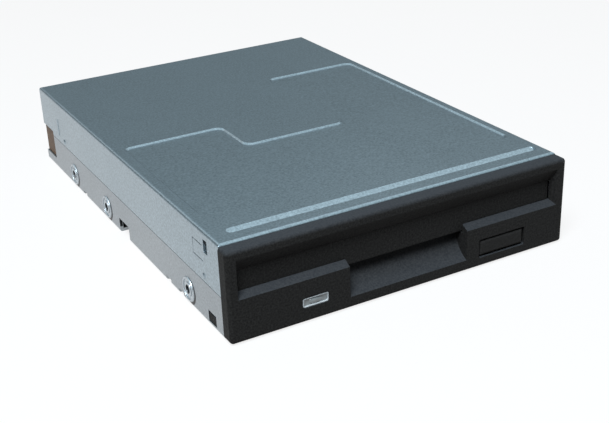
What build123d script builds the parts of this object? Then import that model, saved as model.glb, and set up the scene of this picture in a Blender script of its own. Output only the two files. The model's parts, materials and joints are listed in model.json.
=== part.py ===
from build123d import *
import os
from math import asin, atan2, cos, degrees, radians, sin, sqrt

os.makedirs("parts", exist_ok=True)

# Millimetres. X runs to the right as seen from the front, Y runs back, Z is up.
# The origin lies under the middle of the drive, on the plane that it stands on.

# Envelope of the drive: 4.0 by 5.75 by 1.0 inches
overall_width = 101.6
overall_depth = 146.0
overall_height = 25.4

# Sheet metal and boards
chassis_sheet = 1.0
cover_sheet = 0.6
mechanism_sheet = 0.8
board_sheet = 1.2
board_lift = 1.4
fit_gap = 0.1
run_gap = 0.3
running_clearance = 0.05

# The disk that the drive takes, and where it sits once it is loaded
disk_width = 90.0
disk_length = 94.0
disk_thickness = 3.3
disk_hub_from_label = 47.0
disk_label_from_front = 5.0
disk_loaded_z = 11.6
disk_drop = 3.0
disk_play = 0.5
disk_side_play = 0.8

# Travel of the eject button and the head carriage
eject_travel = 6.5
track_count = 80
track_pitch = 0.1875
head_travel = (track_count - 1) * track_pitch

front = -overall_depth / 2
rear = overall_depth / 2

# Front bezel
bezel_depth = 4.0
bezel_low = 0.3
bezel_high = 25.0
bezel_wall = 2.3
bezel_skirt = 1.9
bezel_round = 1.0
funnel_half_width = 48.1
funnel_low = 12.0
funnel_high = 22.5
slot_half_width = 47.2
slot_low = 13.2
slot_high = 18.8
scoop_left = -17.5
scoop_right = 18.3
scoop_radius = 8.7
scoop_axis_z = 11.5
scoop_bottom_z = 3.5
scoop_top_z = 10.8
scoop_wall = 1.2

# Chassis and cover walls, from the outside in
side_boss_stand = 0.3
body_half = overall_width / 2 - side_boss_stand
metal_front = front + bezel_depth + fit_gap
tongue = 1.5
metal_rear = rear - tongue
lower_wall_in = body_half - chassis_sheet
cover_in = body_half - cover_sheet
upper_wall_out = cover_in - fit_gap
upper_wall_in = upper_wall_out - chassis_sheet
seam_z = 11.4
jog_top_z = seam_z - running_clearance
jog_low_z = jog_top_z - 0.1
cover_under_z = overall_height - cover_sheet

# Heights of the moving stack above the floor
disk_raised_z = disk_loaded_z + disk_drop
holder_floor_top = disk_raised_z - disk_play
holder_floor_low = holder_floor_top - mechanism_sheet
holder_roof_low = disk_raised_z + disk_thickness + disk_play
holder_roof_top = holder_roof_low + mechanism_sheet
lever_sheet = 0.6
lever_low = holder_roof_top + fit_gap
lever_top = lever_low + lever_sheet
stud_head = 0.45
slide_roof_low = lever_top + running_clearance + stud_head + 0.2
slide_roof_top = slide_roof_low + mechanism_sheet

# Disk bay
label_y = front + disk_label_from_front
disk_end_y = label_y + disk_length
spindle_y = label_y + disk_hub_from_label
holder_in = disk_width / 2 + disk_side_play
holder_out = holder_in + mechanism_sheet
holder_front = front + 13.2
holder_back = disk_end_y + disk_play
holder_roof_back = holder_back + 5.0
slide_out = upper_wall_in - run_gap - fit_gap
slide_in = slide_out - mechanism_sheet

# Boards
board_low = chassis_sheet + board_lift
board_top = board_low + board_sheet
board_screw_radius = 1.05
board_screw_head = 2.2
standoff_radius = 2.8
standoff_holes = board_screw_radius + running_clearance

# Heads and their travel: tracks 79 to 0 lie at these radii from the spindle
inner_track_radius = 24.7
outer_track_radius = inner_track_radius + head_travel
head_y = spindle_y + outer_track_radius


def block(x_span, y_span, z_span, mode=Mode.ADD):
    """A block between three pairs of coordinates, in the part that is open."""
    spans = (x_span, y_span, z_span)
    with Locations(tuple((low + high) / 2 for low, high in spans)):
        Box(*(abs(high - low) for low, high in spans), mode=mode)


def post(x, y, radius, z_span, mode=Mode.ADD):
    """An upright cylinder between two heights, in the part that is open."""
    with Locations((x, y, z_span[0])):
        Cylinder(radius, z_span[1] - z_span[0], align=(Align.CENTER, Align.CENTER, Align.MIN), mode=mode)


def bar(axis, at, radius, span, mode=Mode.ADD):
    """A cylinder that lies along X or Y between two coordinates, at the other two."""
    turn = (0, 90, 0) if axis == Axis.X else (-90, 0, 0)
    start = (span[0], at[0], at[1]) if axis == Axis.X else (at[0], span[0], at[1])
    with Locations(Location(start, turn)):
        Cylinder(radius, span[1] - span[0], align=(Align.CENTER, Align.CENTER, Align.MIN), mode=mode)


def finish(builder, name):
    """Labels a finished piece and writes it."""
    builder.part.label = name
    export_step(builder.part, f"parts/{name}.step")


# Side mounting bosses: M3 holes on both sides, 60 and 30 mm apart
side_boss_first = 25.0
side_boss_long_pitch = 60.0
side_boss_short_pitch = 30.0
side_boss_z = 4.2
side_boss_radius = 3.5
side_boss_edge = 0.2
side_boss_dish = (2.0, 2.8)
side_boss_dish_depth = 0.2
crescent_gap = 0.05
crescent_width = 1.0
crescent_arc = (145, 95)
tapped_radius = 1.25
collar_wall = 1.1
collar_length = 2.0
side_boss_y = [front + side_boss_first]
side_boss_y.append(side_boss_y[0] + side_boss_long_pitch)
side_boss_y.append(side_boss_y[1] + side_boss_short_pitch)

# Bottom mounting holes
bottom_hole_pitch_x = 95.2
bottom_hole_pitch_y = 60.0
bottom_collar_height = 1.6
bottom_hole_y = [side_boss_y[0], side_boss_y[0] + bottom_hole_pitch_y]

# Guide pins of the disk holder, and the slots that they ride in
pin_radius = 1.2
pin_slot_gap = 0.15
pin_z = holder_floor_top + 2.9
pin_y = [holder_front + 18.8, holder_back - 15.5]
slot_radius = pin_radius + pin_slot_gap
pin_tip = upper_wall_out - 0.2

# Openings in the floor: round under the spindle motor, oblong under the main board
motor_window_radius = 25.0
board_window_x = (-10.0, 40.0)
board_window_y = (front + 100.5, front + 123.5)
window_corner = 3.0

# Main board and what stands on its rear edge
main_board_x = (-20.0, 47.0)
main_board_y = (front + 98.0, metal_rear - chassis_sheet - 0.2)
interface_x = (-17.5, 31.5)
interface_depth = 9.5
interface_height = 9.0
power_x = (34.6, 46.4)
power_depth = 8.4
power_height = 6.6
connector_stand = 0.4
connector_back = metal_rear + connector_stand
rear_lip_z = 3.2

# Stepper motor in the rear left corner
stepper_radius = 9.0
stepper_length = 14.6
stepper_x = -34.0
stepper_z = chassis_sheet + 0.2 + stepper_radius
stepper_back = metal_rear - chassis_sheet - run_gap
stepper_front = stepper_back - stepper_length
corner_opening_y = (front + 134.5, metal_rear)
corner_opening_z = (3.2, 12.9)

main_screw_xy = [
    (main_board_x[0] + 3.2, main_board_y[0] + 4.0),
    (main_board_x[0] + 3.2, main_board_y[0] + 21.0),
    (main_board_x[1] - 3.2, main_board_y[0] + 4.0),
    (main_board_x[1] - 5.0, main_board_y[0] + 31.0),
]
motor_board_half = 31.0
strip_half = 45.5
motor_board_front = front + 11.4
strip_back = front + 21.5
motor_board_back = front + 75.4
motor_screw_xy = [
    (-motor_board_half + 3.5, motor_board_back - 8.0),
    (motor_board_half - 3.5, motor_board_back - 8.0),
    (0.0, front + 17.0),
]

# Lower edge details of the side walls, seen from the left
side_notch_y = (front + 67.3, front + 75.0)
side_notch_z = 4.5
hook_window_y = (front + 8.6, front + 13.1)
hook_window_z = (0.9, 4.0)
edge_nicks_y = [front + 30.2, front + 38.6, front + 106.0]
edge_nick_size = (3.2, 1.3)

# Upper bezel hooks and the window that they snap into
top_hook_y = (front + 10.9, front + 13.1)
top_hook_z = (19.8, 23.4)
top_hook_arm_low = slide_roof_top + run_gap

with BuildPart() as chassis:
    # U-shaped section with the upper walls set in behind the cover
    bend = chassis_sheet * 0.85
    with BuildSketch(Plane.XZ.offset(-metal_rear)) as chassis_section:
        with BuildLine():
            Polyline(
                (0, 0),
                (body_half, 0),
                (body_half, jog_low_z),
                (upper_wall_out, jog_top_z),
                (upper_wall_out, cover_under_z - running_clearance),
                (upper_wall_in, cover_under_z - running_clearance),
                (upper_wall_in, jog_top_z - bend),
                (lower_wall_in, jog_low_z - bend),
                (lower_wall_in, chassis_sheet),
                (0, chassis_sheet),
            )
            mirror(about=Plane.YZ)
        make_face()
        low_corners = [v for v in chassis_section.vertices() if v.Y < 0.01 and abs(v.X) > body_half / 2]
        fillet(low_corners, chassis_sheet * 0.7)
    extrude(amount=metal_rear - metal_front)
    # Floor tongue behind the walls
    with BuildSketch() as tongue_outline:
        with BuildLine():
            tongue_half = body_half - chassis_sheet
            Polyline(
                (-tongue_half, metal_rear - 1),
                (tongue_half, metal_rear - 1),
                (tongue_half, rear),
                (-tongue_half, rear),
                close=True,
            )
        make_face()
    extrude(amount=chassis_sheet)
    # Rear wall, notched for the stepper motor and the two connectors
    with BuildSketch(Plane.XZ.offset(-metal_rear)):
        with BuildLine():
            notch_gap = 0.5
            Polyline(
                (-lower_wall_in, 0),
                (lower_wall_in, 0),
                (lower_wall_in, jog_low_z - bend),
                (power_x[1] + notch_gap, jog_low_z - bend),
                (power_x[1] + notch_gap, rear_lip_z),
                (power_x[0] - notch_gap, rear_lip_z),
                (power_x[0] - notch_gap, jog_low_z - bend),
                (interface_x[1] + notch_gap, jog_low_z - bend),
                (interface_x[1] + notch_gap, rear_lip_z),
                (interface_x[0] - notch_gap, rear_lip_z),
                (interface_x[0] - notch_gap, jog_low_z - bend),
                (stepper_x + stepper_radius + 2, jog_low_z - bend),
                (stepper_x + stepper_radius + 2, rear_lip_z),
                (-lower_wall_in, rear_lip_z),
                close=True,
            )
        make_face()
    extrude(amount=chassis_sheet)
    # The upper walls stop inside the cover's rear flange
    flange_room = (metal_rear - cover_sheet - fit_gap, metal_rear + 1)
    block((-overall_width, overall_width), flange_room, (seam_z - fit_gap, overall_height), Mode.SUBTRACT)
    # Opening at the rear left corner, notch in the left wall, hook windows and edge nicks
    opening_x = (-body_half - 1, -lower_wall_in + 1.2)
    block(opening_x, (corner_opening_y[0], metal_rear + 1), corner_opening_z, Mode.SUBTRACT)
    block((-body_half - 1, -lower_wall_in + 2.5), side_notch_y, (-1, side_notch_z), Mode.SUBTRACT)
    for side in (-1, 1):
        wall_x = sorted((side * (body_half + 1), side * (lower_wall_in - 0.5)))
        block(wall_x, hook_window_y, hook_window_z, Mode.SUBTRACT)
        for nick_y in edge_nicks_y:
            nick_span = (nick_y - edge_nick_size[0] / 2, nick_y + edge_nick_size[0] / 2)
            block(wall_x, nick_span, (-1, edge_nick_size[1]), Mode.SUBTRACT)
        hook_x = sorted((side * (upper_wall_in - 0.5), side * (upper_wall_out + 0.05)))
        block(hook_x, top_hook_y, (top_hook_arm_low - 0.1, top_hook_z[1]), Mode.SUBTRACT)
        # Upright slots that hold the guide pins to a vertical path
        for y in pin_y:
            slot_centre = Plane.YZ.offset(hook_x[0])
            with BuildSketch(slot_centre):
                with Locations((y, pin_z - disk_drop / 2)):
                    SlotCenterToCenter(disk_drop, 2 * slot_radius, rotation=90)
            extrude(amount=hook_x[1] - hook_x[0] + 1, mode=Mode.SUBTRACT)
    # Side bosses: proud ring, inward collar and tapped hole
    for side in (-1, 1):
        for y in side_boss_y:
            ring_x = sorted((side * (lower_wall_in + 0.2), side * overall_width / 2))
            bar(Axis.X, (y, side_boss_z), side_boss_radius - side_boss_edge, ring_x)
            edge_low = Location((side * (body_half - 0.1), y, side_boss_z), (0, side * 90, 0))
            with Locations(edge_low):
                Cone(
                    side_boss_radius,
                    side_boss_radius - side_boss_edge,
                    side_boss_stand + 0.1,
                    align=(Align.CENTER, Align.CENTER, Align.MIN),
                )
            collar_x = sorted((side * (lower_wall_in - collar_length + 0.3), side * body_half))
            bar(Axis.X, (y, side_boss_z), tapped_radius + collar_wall, collar_x)
    for side in (-1, 1):
        for y in side_boss_y:
            hole_x = sorted((side * (lower_wall_in - collar_length), side * (overall_width / 2 + 1)))
            bar(Axis.X, (y, side_boss_z), tapped_radius, hole_x, Mode.SUBTRACT)
            # Shallow ring pressed into the boss, between the hole and the rim
            with BuildSketch(Plane.YZ.offset(side * (overall_width / 2 - side_boss_dish_depth))):
                with Locations((y, side_boss_z)):
                    Circle(side_boss_dish[1])
                    Circle(side_boss_dish[0], mode=Mode.SUBTRACT)
            extrude(amount=side, mode=Mode.SUBTRACT)
            # Crescent slit beside the boss, towards the front
            with BuildSketch(Plane.YZ.offset(side * body_half - 1.5)):
                with Locations((y, side_boss_z)):
                    crescent_radius = side_boss_radius + crescent_gap + crescent_width / 2
                    SlotArc(CenterArc((0, 0), crescent_radius, *crescent_arc), crescent_width)
            extrude(amount=3.0, mode=Mode.SUBTRACT)
    # Bottom mounting holes with their collars
    for x in (-bottom_hole_pitch_x / 2, bottom_hole_pitch_x / 2):
        for y in bottom_hole_y:
            post(x, y, tapped_radius + 0.7, (chassis_sheet - 0.1, chassis_sheet + bottom_collar_height))
            post(x, y, tapped_radius, (-1, chassis_sheet + bottom_collar_height + 1), Mode.SUBTRACT)
    # Windows in the floor
    post(0, spindle_y, motor_window_radius, (-1, chassis_sheet + 1), Mode.SUBTRACT)
    with BuildSketch(Plane.XY):
        with Locations(((board_window_x[0] + board_window_x[1]) / 2, (board_window_y[0] + board_window_y[1]) / 2)):
            RectangleRounded(
                board_window_x[1] - board_window_x[0], board_window_y[1] - board_window_y[0], window_corner
            )
    extrude(amount=chassis_sheet, mode=Mode.SUBTRACT)
    # Embossed standoffs for the boards
    for x, y in motor_screw_xy + main_screw_xy:
        post(x, y, standoff_radius, (0, board_low))
        post(x, y, standoff_holes, (-1, board_low + 1), Mode.SUBTRACT)
    # Inward tabs that anchor the eject springs
    spring_x = 43.5
    spring_z = slide_roof_top + 1.5
    spring_fixed_y = front + 26.0
    for side in (-1, 1):
        tab_x = sorted((side * (spring_x - 1.4), side * (upper_wall_in + 0.3)))
        block(tab_x, (spring_fixed_y, spring_fixed_y + mechanism_sheet), (spring_z - 1.0, spring_z + 1.2))
finish(chassis, "chassis")

# Recessed panel and front groove of the cover, from the front edge and the centre line
panel_depth = 0.4
panel_slope = 0.5
panel_left = -46.6
panel_right = 47.3
panel_front = front + 20.5
panel_step_left = -16.6
panel_step_right = 16.4
panel_mid_y = front + 57.2
panel_left_y = front + 74.4
panel_back_y = front + 106.0
panel_bend = 2.5
groove_left = -45.6
groove_right = 48.0
groove_front = front + 8.5
groove_back = front + 11.3
groove_depth = 0.5
groove_toe = 0.5
cover_round = 0.9
cover_rear_z = 12.8
dimple_y = [front + 14.1, front + 122.2]
dimple_z = 12.9
dimple_radius = 1.1
dimple_top_radius = 0.5
dimple_stand = 0.28
rib_y = front + 127.3
rib_radius = 0.4
rib_z = (13.6, 19.0)
rib_stand = 0.2
tab_slit = 0.22
tab_y = (front + 13.9, front + 19.4)
tab_z = (17.2, 21.2)

with BuildPart() as groove_form:
    # Steep towards the front, with a long slope that faces the front
    with BuildSketch(Plane.YZ.offset(groove_left)):
        with BuildLine():
            Polyline(
                (groove_front, overall_height + 0.01),
                (groove_front + groove_toe, overall_height - groove_depth),
                (groove_front + 2 * groove_toe, overall_height - groove_depth),
                (groove_back, overall_height + 0.01),
                close=True,
            )
        make_face()
    extrude(amount=groove_right - groove_left)
    with BuildSketch(Plane.XY.offset(overall_height - 1)):
        with Locations(((groove_left + groove_right) / 2, (groove_front + groove_back) / 2)):
            SlotOverall(groove_right - groove_left, groove_back - groove_front)
    extrude(amount=2, mode=Mode.INTERSECT)


def panel_corners(grow):
    """Corners of the recessed panel, grown by an amount."""
    return [
        (panel_left - grow, panel_front - grow),
        (panel_right + grow, panel_front - grow),
        (panel_right + grow, panel_back_y + grow),
        (panel_step_right - grow, panel_back_y + grow),
        (panel_step_right - grow, panel_mid_y + grow),
        (panel_step_left + grow, panel_mid_y + grow),
        (panel_step_left + grow, panel_left_y + grow),
        (panel_left - grow, panel_left_y + grow),
    ]


with BuildPart() as top_cover:
    # Tray with rounded upper edges, hollow from below
    block((-body_half, body_half), (metal_front, metal_rear), (seam_z, overall_height))
    fillet(top_cover.edges().group_by(Axis.Z)[-1], cover_round)
    block(
        (-cover_in, cover_in),
        (metal_front + cover_sheet, metal_rear - cover_sheet),
        (seam_z - 1, cover_under_z),
        Mode.SUBTRACT,
    )
    # Small lip at the front edge, rear flange that stops above the chassis wall
    lip_height = 1.0
    lip_half = upper_wall_in - run_gap
    lip_y = (metal_front - 1, metal_front + cover_sheet + 0.1)
    block((-cover_in, cover_in), lip_y, (seam_z - 1, cover_under_z - lip_height), Mode.SUBTRACT)
    for side in (-1, 1):
        corner_x = sorted((side * lip_half, side * cover_in))
        block(corner_x, lip_y, (seam_z - 1, cover_under_z), Mode.SUBTRACT)
    block((-cover_in, cover_in), (metal_rear - 1, metal_rear + 1), (seam_z - 1, cover_rear_z), Mode.SUBTRACT)
    # Metal under the recessed panel and the groove
    with BuildSketch(Plane.XY.offset(cover_under_z - panel_depth)):
        with BuildLine():
            FilletPolyline(*panel_corners(panel_slope + 0.2), radius=panel_bend, close=True)
        make_face()
    extrude(amount=panel_depth + 0.1)
    with BuildSketch(Plane.XY.offset(cover_under_z - groove_depth)):
        with Locations(((groove_left + groove_right) / 2, (groove_front + groove_back) / 2)):
            SlotOverall(groove_right - groove_left + 0.6, groove_back - groove_front + 0.6)
    extrude(amount=groove_depth + 0.1)
    # The panel's sloping step
    with BuildSketch(Plane.XY.offset(overall_height - panel_depth)):
        with BuildLine():
            FilletPolyline(*panel_corners(0), radius=panel_bend, close=True)
        make_face()
    with BuildSketch(Plane.XY.offset(overall_height)):
        with BuildLine():
            FilletPolyline(*panel_corners(panel_slope), radius=panel_bend, close=True)
        make_face()
    loft(mode=Mode.SUBTRACT, ruled=True)
    add(groove_form.part, mode=Mode.SUBTRACT)
    # Corner opening of the left flange
    block(
        (-body_half - 1, -cover_in + 0.05),
        (corner_opening_y[0], metal_rear + 1),
        (seam_z - 1, cover_rear_z),
        Mode.SUBTRACT,
    )
    # Dimples and upright ribs of both flanges
    for side in (-1, 1):
        for y in dimple_y:
            with Locations(Location((side * (body_half - 0.1), y, dimple_z), (0, side * 90, 0))):
                Cone(
                    dimple_radius,
                    dimple_top_radius,
                    dimple_stand + 0.1,
                    align=(Align.CENTER, Align.CENTER, Align.MIN),
                )
        post(side * (body_half + rib_stand - rib_radius), rib_y, rib_radius, rib_z)
    # Hook windows and lanced spring tabs in both flanges
    for side in (-1, 1):
        flange_x = sorted((side * (cover_in - 0.05), side * (body_half + 0.5)))
        block(flange_x, top_hook_y, top_hook_z, Mode.SUBTRACT)
        slit_end = tab_y[1] + tab_slit
        block(flange_x, (tab_y[1], slit_end), (tab_z[0] - tab_slit, tab_z[1] + tab_slit), Mode.SUBTRACT)
        block(flange_x, (tab_y[0], tab_y[1] + 0.1), (tab_z[0] - tab_slit, tab_z[0]), Mode.SUBTRACT)
        block(flange_x, (tab_y[0], tab_y[1] + 0.1), (tab_z[1], tab_z[1] + tab_slit), Mode.SUBTRACT)
finish(top_cover, "top_cover")

# Lamp and button apertures in the bezel
lamp_x = (-31.1, -23.6)
lamp_z = (4.3, 7.1)
button_hole_x = (22.3, 37.5)
button_hole_z = (3.0, 8.3)
button_gap = 0.45
aperture_round = 0.6

# Dust door, hinged along its top edge
door_play = 0.3
door_sheet = 1.2
door_low_z = 11.1
door_axis_y = front + bezel_wall + 0.2 + door_sheet / 2
door_axis_z = slot_high + 0.8
door_half = slot_half_width - door_play
door_pin_radius = 0.5
ear_x = (slot_half_width, upper_wall_in)
bezel_rear = front + bezel_depth
hinge_room_top = door_axis_z + 1.0

with BuildPart() as front_bezel:
    block((-overall_width / 2, overall_width / 2), (front, bezel_rear), (bezel_low, bezel_high))
    front_edges = front_bezel.faces().sort_by(Axis.Y)[0].edges()
    upright = front_bezel.edges().filter_by(Axis.Y)
    fillet(front_edges + upright, bezel_round)
    # Hollow behind the front wall, and a groove that keeps the header thin
    block(
        (-slot_half_width - 1.6, slot_half_width + 1.6),
        (front + bezel_wall, bezel_rear + 1),
        (bezel_low + bezel_skirt, hinge_room_top),
        Mode.SUBTRACT,
    )
    block(
        (-slot_half_width, slot_half_width),
        (front + bezel_skirt, bezel_rear + 1),
        (hinge_room_top + 1.3, bezel_high - 1.5),
        Mode.SUBTRACT,
    )
    # Funnel that leads the disk in
    funnel_mid = (funnel_low + funnel_high) / 2
    slot_mid = (slot_low + slot_high) / 2
    with BuildSketch(Plane.XZ.offset(-front)):
        with Locations((0, funnel_mid)):
            Rectangle(2 * funnel_half_width, funnel_high - funnel_low)
    with BuildSketch(Plane.XZ.offset(-front - bezel_wall)):
        with Locations((0, slot_mid)):
            Rectangle(2 * slot_half_width, slot_high - slot_low)
    loft(mode=Mode.SUBTRACT, ruled=True)
    # Finger scoop: a concave shell under the slot
    scoop_axis_y = front + sqrt(scoop_radius**2 - (scoop_axis_z - scoop_bottom_z) ** 2) * -1
    with BuildSketch(Plane.YZ.offset(scoop_left - scoop_wall)):
        with Locations((scoop_axis_y, scoop_axis_z)):
            Circle(scoop_radius + scoop_wall)
        with Locations((front + bezel_wall - 0.3, scoop_top_z)):
            Rectangle(30, 30, align=(Align.MIN, Align.MAX), mode=Mode.INTERSECT)
    extrude(amount=scoop_right - scoop_left + 2 * scoop_wall)
    with BuildSketch(Plane.YZ.offset(scoop_left)):
        with Locations((scoop_axis_y, scoop_axis_z)):
            Circle(scoop_radius)
    extrude(amount=scoop_right - scoop_left, mode=Mode.SUBTRACT)
    # Lamp window and button aperture
    for x_span, z_span in ((lamp_x, lamp_z), (button_hole_x, button_hole_z)):
        with BuildSketch(Plane.XZ.offset(-front + 1)):
            with Locations(((x_span[0] + x_span[1]) / 2, (z_span[0] + z_span[1]) / 2)):
                RectangleRounded(x_span[1] - x_span[0], z_span[1] - z_span[0], aperture_round)
        extrude(amount=-(bezel_wall + 3), mode=Mode.SUBTRACT)
    # Ears that hold the door's pins
    for side in (-1, 1):
        ear_z = (door_axis_z - 1.1, hinge_room_top + 0.2)
        ear = sorted((side * ear_x[0], side * (ear_x[1] + 0.1)))
        block(ear, (front + bezel_wall - 0.2, bezel_rear), ear_z)
        ear = sorted((side * ear_x[0], side * (ear_x[1] - 0.1)))
        block(ear, (front + bezel_wall - 0.2, bezel_rear + 0.7), ear_z)
        bore_x = sorted((side * (ear_x[0] - 0.1), side * ear_x[1]))
        bar(Axis.X, (door_axis_y, door_axis_z), door_pin_radius + running_clearance, bore_x, Mode.SUBTRACT)
    # Snap hooks, two high and two low
    arm_sheet = 1.2
    top_arm_out = upper_wall_in - 0.2
    low_arm_out = lower_wall_in - 0.2
    hook_nose = 0.3
    for side in (-1, 1):
        for arm_out, nose_out, y_span, z_span in (
            (top_arm_out, cover_in, top_hook_y, (top_hook_arm_low, top_hook_z[1] - 0.2)),
            (low_arm_out, body_half - 0.1, hook_window_y, (chassis_sheet + run_gap, hook_window_z[1] - 0.7)),
        ):
            arm_x = sorted((side * (arm_out - arm_sheet), side * arm_out))
            nose_x = sorted((side * (arm_out - 0.2), side * nose_out))
            block(arm_x, (front + bezel_skirt, y_span[1] - hook_nose), z_span)
            block(nose_x, (y_span[0] + hook_nose, y_span[1] - hook_nose), z_span)
finish(front_bezel, "front_bezel")

spring_notch_x = (-door_half + 0.6, -door_half + 3.8)
with BuildPart() as dust_door:
    with BuildSketch(Plane.YZ.offset(-door_half)):
        with Locations((door_axis_y, door_axis_z)):
            Circle(door_sheet / 2)
        with Locations((door_axis_y, door_low_z)):
            Rectangle(door_sheet, door_axis_z - door_low_z, align=(Align.CENTER, Align.MIN))
    extrude(amount=2 * door_half)
    fillet(dust_door.edges().filter_by(Axis.X).group_by(Axis.Z)[0], 0.3)
    # Room for the torsion spring round the left pin
    block(
        spring_notch_x,
        (door_axis_y - 2, door_axis_y + 2),
        (slot_high, door_axis_z + 2),
        Mode.SUBTRACT,
    )
    bar(Axis.X, (door_axis_y, door_axis_z), door_pin_radius, (-ear_x[1] + 0.2, ear_x[1] - 0.2))
finish(dust_door, "dust_door")

with BuildPart() as door_spring:
    coil_x = (spring_notch_x[0] + 0.3, spring_notch_x[1] - 0.3)
    coil_radius = 0.75
    bar(Axis.X, (door_axis_y, door_axis_z), coil_radius, coil_x)
    # Upper leg under the header of the bezel
    leg_y = (door_axis_y, front + bezel_depth + 0.6)
    leg_z = (door_axis_z + door_sheet / 2 + running_clearance, hinge_room_top - running_clearance)
    block((coil_x[1] - 0.4, coil_x[1]), leg_y, leg_z)
    bar(Axis.X, (door_axis_y, door_axis_z), door_pin_radius + running_clearance, (-50, 0), Mode.SUBTRACT)
finish(door_spring, "door_spring")

# Eject button and its carrier on the slide plate
button_x = (button_hole_x[0] + button_gap, button_hole_x[1] - button_gap)
button_z = (button_hole_z[0] + button_gap, button_hole_z[1] - button_gap)
carrier_y = front + 10.0
button_clip = (2.0, 1.0)
button_mid_x = (button_x[0] + button_x[1]) / 2
button_mid_z = (button_z[0] + button_z[1]) / 2

with BuildPart() as eject_button:
    block(button_x, (front + fit_gap, carrier_y), button_z)
    face = eject_button.faces().sort_by(Axis.Y)[0]
    fillet(face.edges(), 0.8)
    # Hollow from behind, with a clip that passes through the carrier
    block(
        (button_x[0] + 1.2, button_x[1] - 1.2),
        (front + 2.5, carrier_y + 1),
        (button_z[0] + 1.1, button_z[1] - 1.1),
        Mode.SUBTRACT,
    )
    clip_x = (button_mid_x - button_clip[0], button_mid_x + button_clip[0])
    clip_z = (button_mid_z - button_clip[1], button_mid_z + button_clip[1])
    block(clip_x, (front + 2.0, carrier_y + mechanism_sheet + 0.6), clip_z)
finish(eject_button, "eject_button")

# Slide plate: roof with a wide opening, side walls with cam slots, leg and carrier for the button
slide_front = front + 14.0
slide_back = holder_back - 1.5
slide_wall_low = 11.4
slide_open_half = 40.0
slide_open_y = (front + 58.0, slide_back - 6.0)
leg_y = (front + 16.0, front + 22.0)
leg_low = chassis_sheet + bottom_collar_height + 1.3
leg_arm_top = 9.0
carrier_z = (board_top + 0.5, button_z[1])
spring_tab_y = front + 54.0

with BuildPart() as slide_plate:
    with BuildSketch(Plane.XZ.offset(-slide_back)) as slide_section:
        with BuildLine():
            Polyline(
                (0, slide_roof_top),
                (slide_out, slide_roof_top),
                (slide_out, slide_wall_low),
                (slide_in, slide_wall_low),
                (slide_in, slide_roof_low),
                (0, slide_roof_low),
            )
            mirror(about=Plane.YZ)
        make_face()
        bends = [v for v in slide_section.vertices() if v.Y > slide_roof_top - 0.01 and abs(v.X) > 1]
        fillet(bends, mechanism_sheet)
    extrude(amount=slide_back - slide_front)
    # Opening for the heads and the shutter lever, and relief of the side walls between the slots
    with BuildSketch(Plane.XY.offset(slide_roof_low)):
        with Locations((0, (slide_open_y[0] + slide_back + 5) / 2)):
            RectangleRounded(2 * slide_open_half, slide_back + 5 - slide_open_y[0], 4)
    extrude(amount=mechanism_sheet, mode=Mode.SUBTRACT)
    relief_y = (pin_y[0] + eject_travel + 5, pin_y[1] - 5)
    for side in (-1, 1):
        wall_x = sorted((side * (slide_in - 1), side * (slide_out + 1)))
        block(wall_x, relief_y, (slide_wall_low - 1, pin_z - 1), Mode.SUBTRACT)
        block(wall_x, (slide_front - 1, pin_y[0] - 4), (slide_wall_low - 1, pin_z - 1), Mode.SUBTRACT)
        # Cam slots fall towards the rear, so the pins drop as the plate comes forward
        cam_angle = degrees(atan2(-disk_drop, eject_travel))
        cam_length = sqrt(disk_drop**2 + eject_travel**2)
        for y in pin_y:
            with BuildSketch(Plane.YZ.offset(wall_x[0])):
                with Locations((y + eject_travel / 2, pin_z - disk_drop / 2)):
                    SlotCenterToCenter(cam_length, 2 * slot_radius, rotation=cam_angle)
            extrude(amount=wall_x[1] - wall_x[0], mode=Mode.SUBTRACT)
        # Upright tab that each eject spring pulls on
        tab = sorted((side * (spring_x - 1), side * (spring_x + 1)))
        block(tab, (spring_tab_y, spring_tab_y + mechanism_sheet), (slide_roof_low + 0.2, spring_z + 1.0))
    # Leg down the right side, arm forward and carrier across behind the button
    block((slide_in, slide_out), leg_y, (leg_low, slide_roof_low))
    block((slide_in, slide_out), (carrier_y, leg_y[1]), (leg_low, leg_arm_top))
    block((button_x[0] + 1, slide_out), (carrier_y, carrier_y + mechanism_sheet), carrier_z)
    clip_gap = running_clearance
    block(
        (clip_x[0] - clip_gap, clip_x[1] + clip_gap),
        (carrier_y - 1, carrier_y + mechanism_sheet + 1),
        (clip_z[0] - clip_gap, clip_z[1] + clip_gap),
        Mode.SUBTRACT,
    )
finish(slide_plate, "slide_plate")

spring_radius = 1.2
spring_wire = 0.4
with BuildPart() as eject_springs:
    spring_span = (spring_fixed_y + mechanism_sheet, spring_tab_y)
    for side in (-1, 1):
        bar(Axis.Y, (side * spring_x, spring_z), spring_radius, (spring_span[0] + 1.5, spring_span[1] - 1.5))
        bar(Axis.Y, (side * spring_x, spring_z), spring_wire, spring_span)
finish(eject_springs, "eject_springs")

# Shutter lever on the roof of the holder
lever_pivot = (34.8, spindle_y + 16.7)
lever_radius = 32.5
lever_rest_angle = 191.9
lever_swing = 88.0
lever_pin_radius = 1.2
lever_pin_low = disk_raised_z + 1.8
lever_hub = 4.0
lever_tail = 5.5
stud_radius = 1.6
stud_head_radius = 2.8
rest = radians(lever_rest_angle)
lever_tip = (lever_pivot[0] + lever_radius * cos(rest), lever_pivot[1] + lever_radius * sin(rest))
lever_tail_xy = (lever_pivot[0] - lever_tail * cos(rest), lever_pivot[1] - lever_tail * sin(rest))

# Window for the heads in the holder's roof
head_window_half = 7.0
tower_room_half = 10.5
head_window_front = head_y - head_travel - 6.5
holder_flange = 6.1

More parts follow.
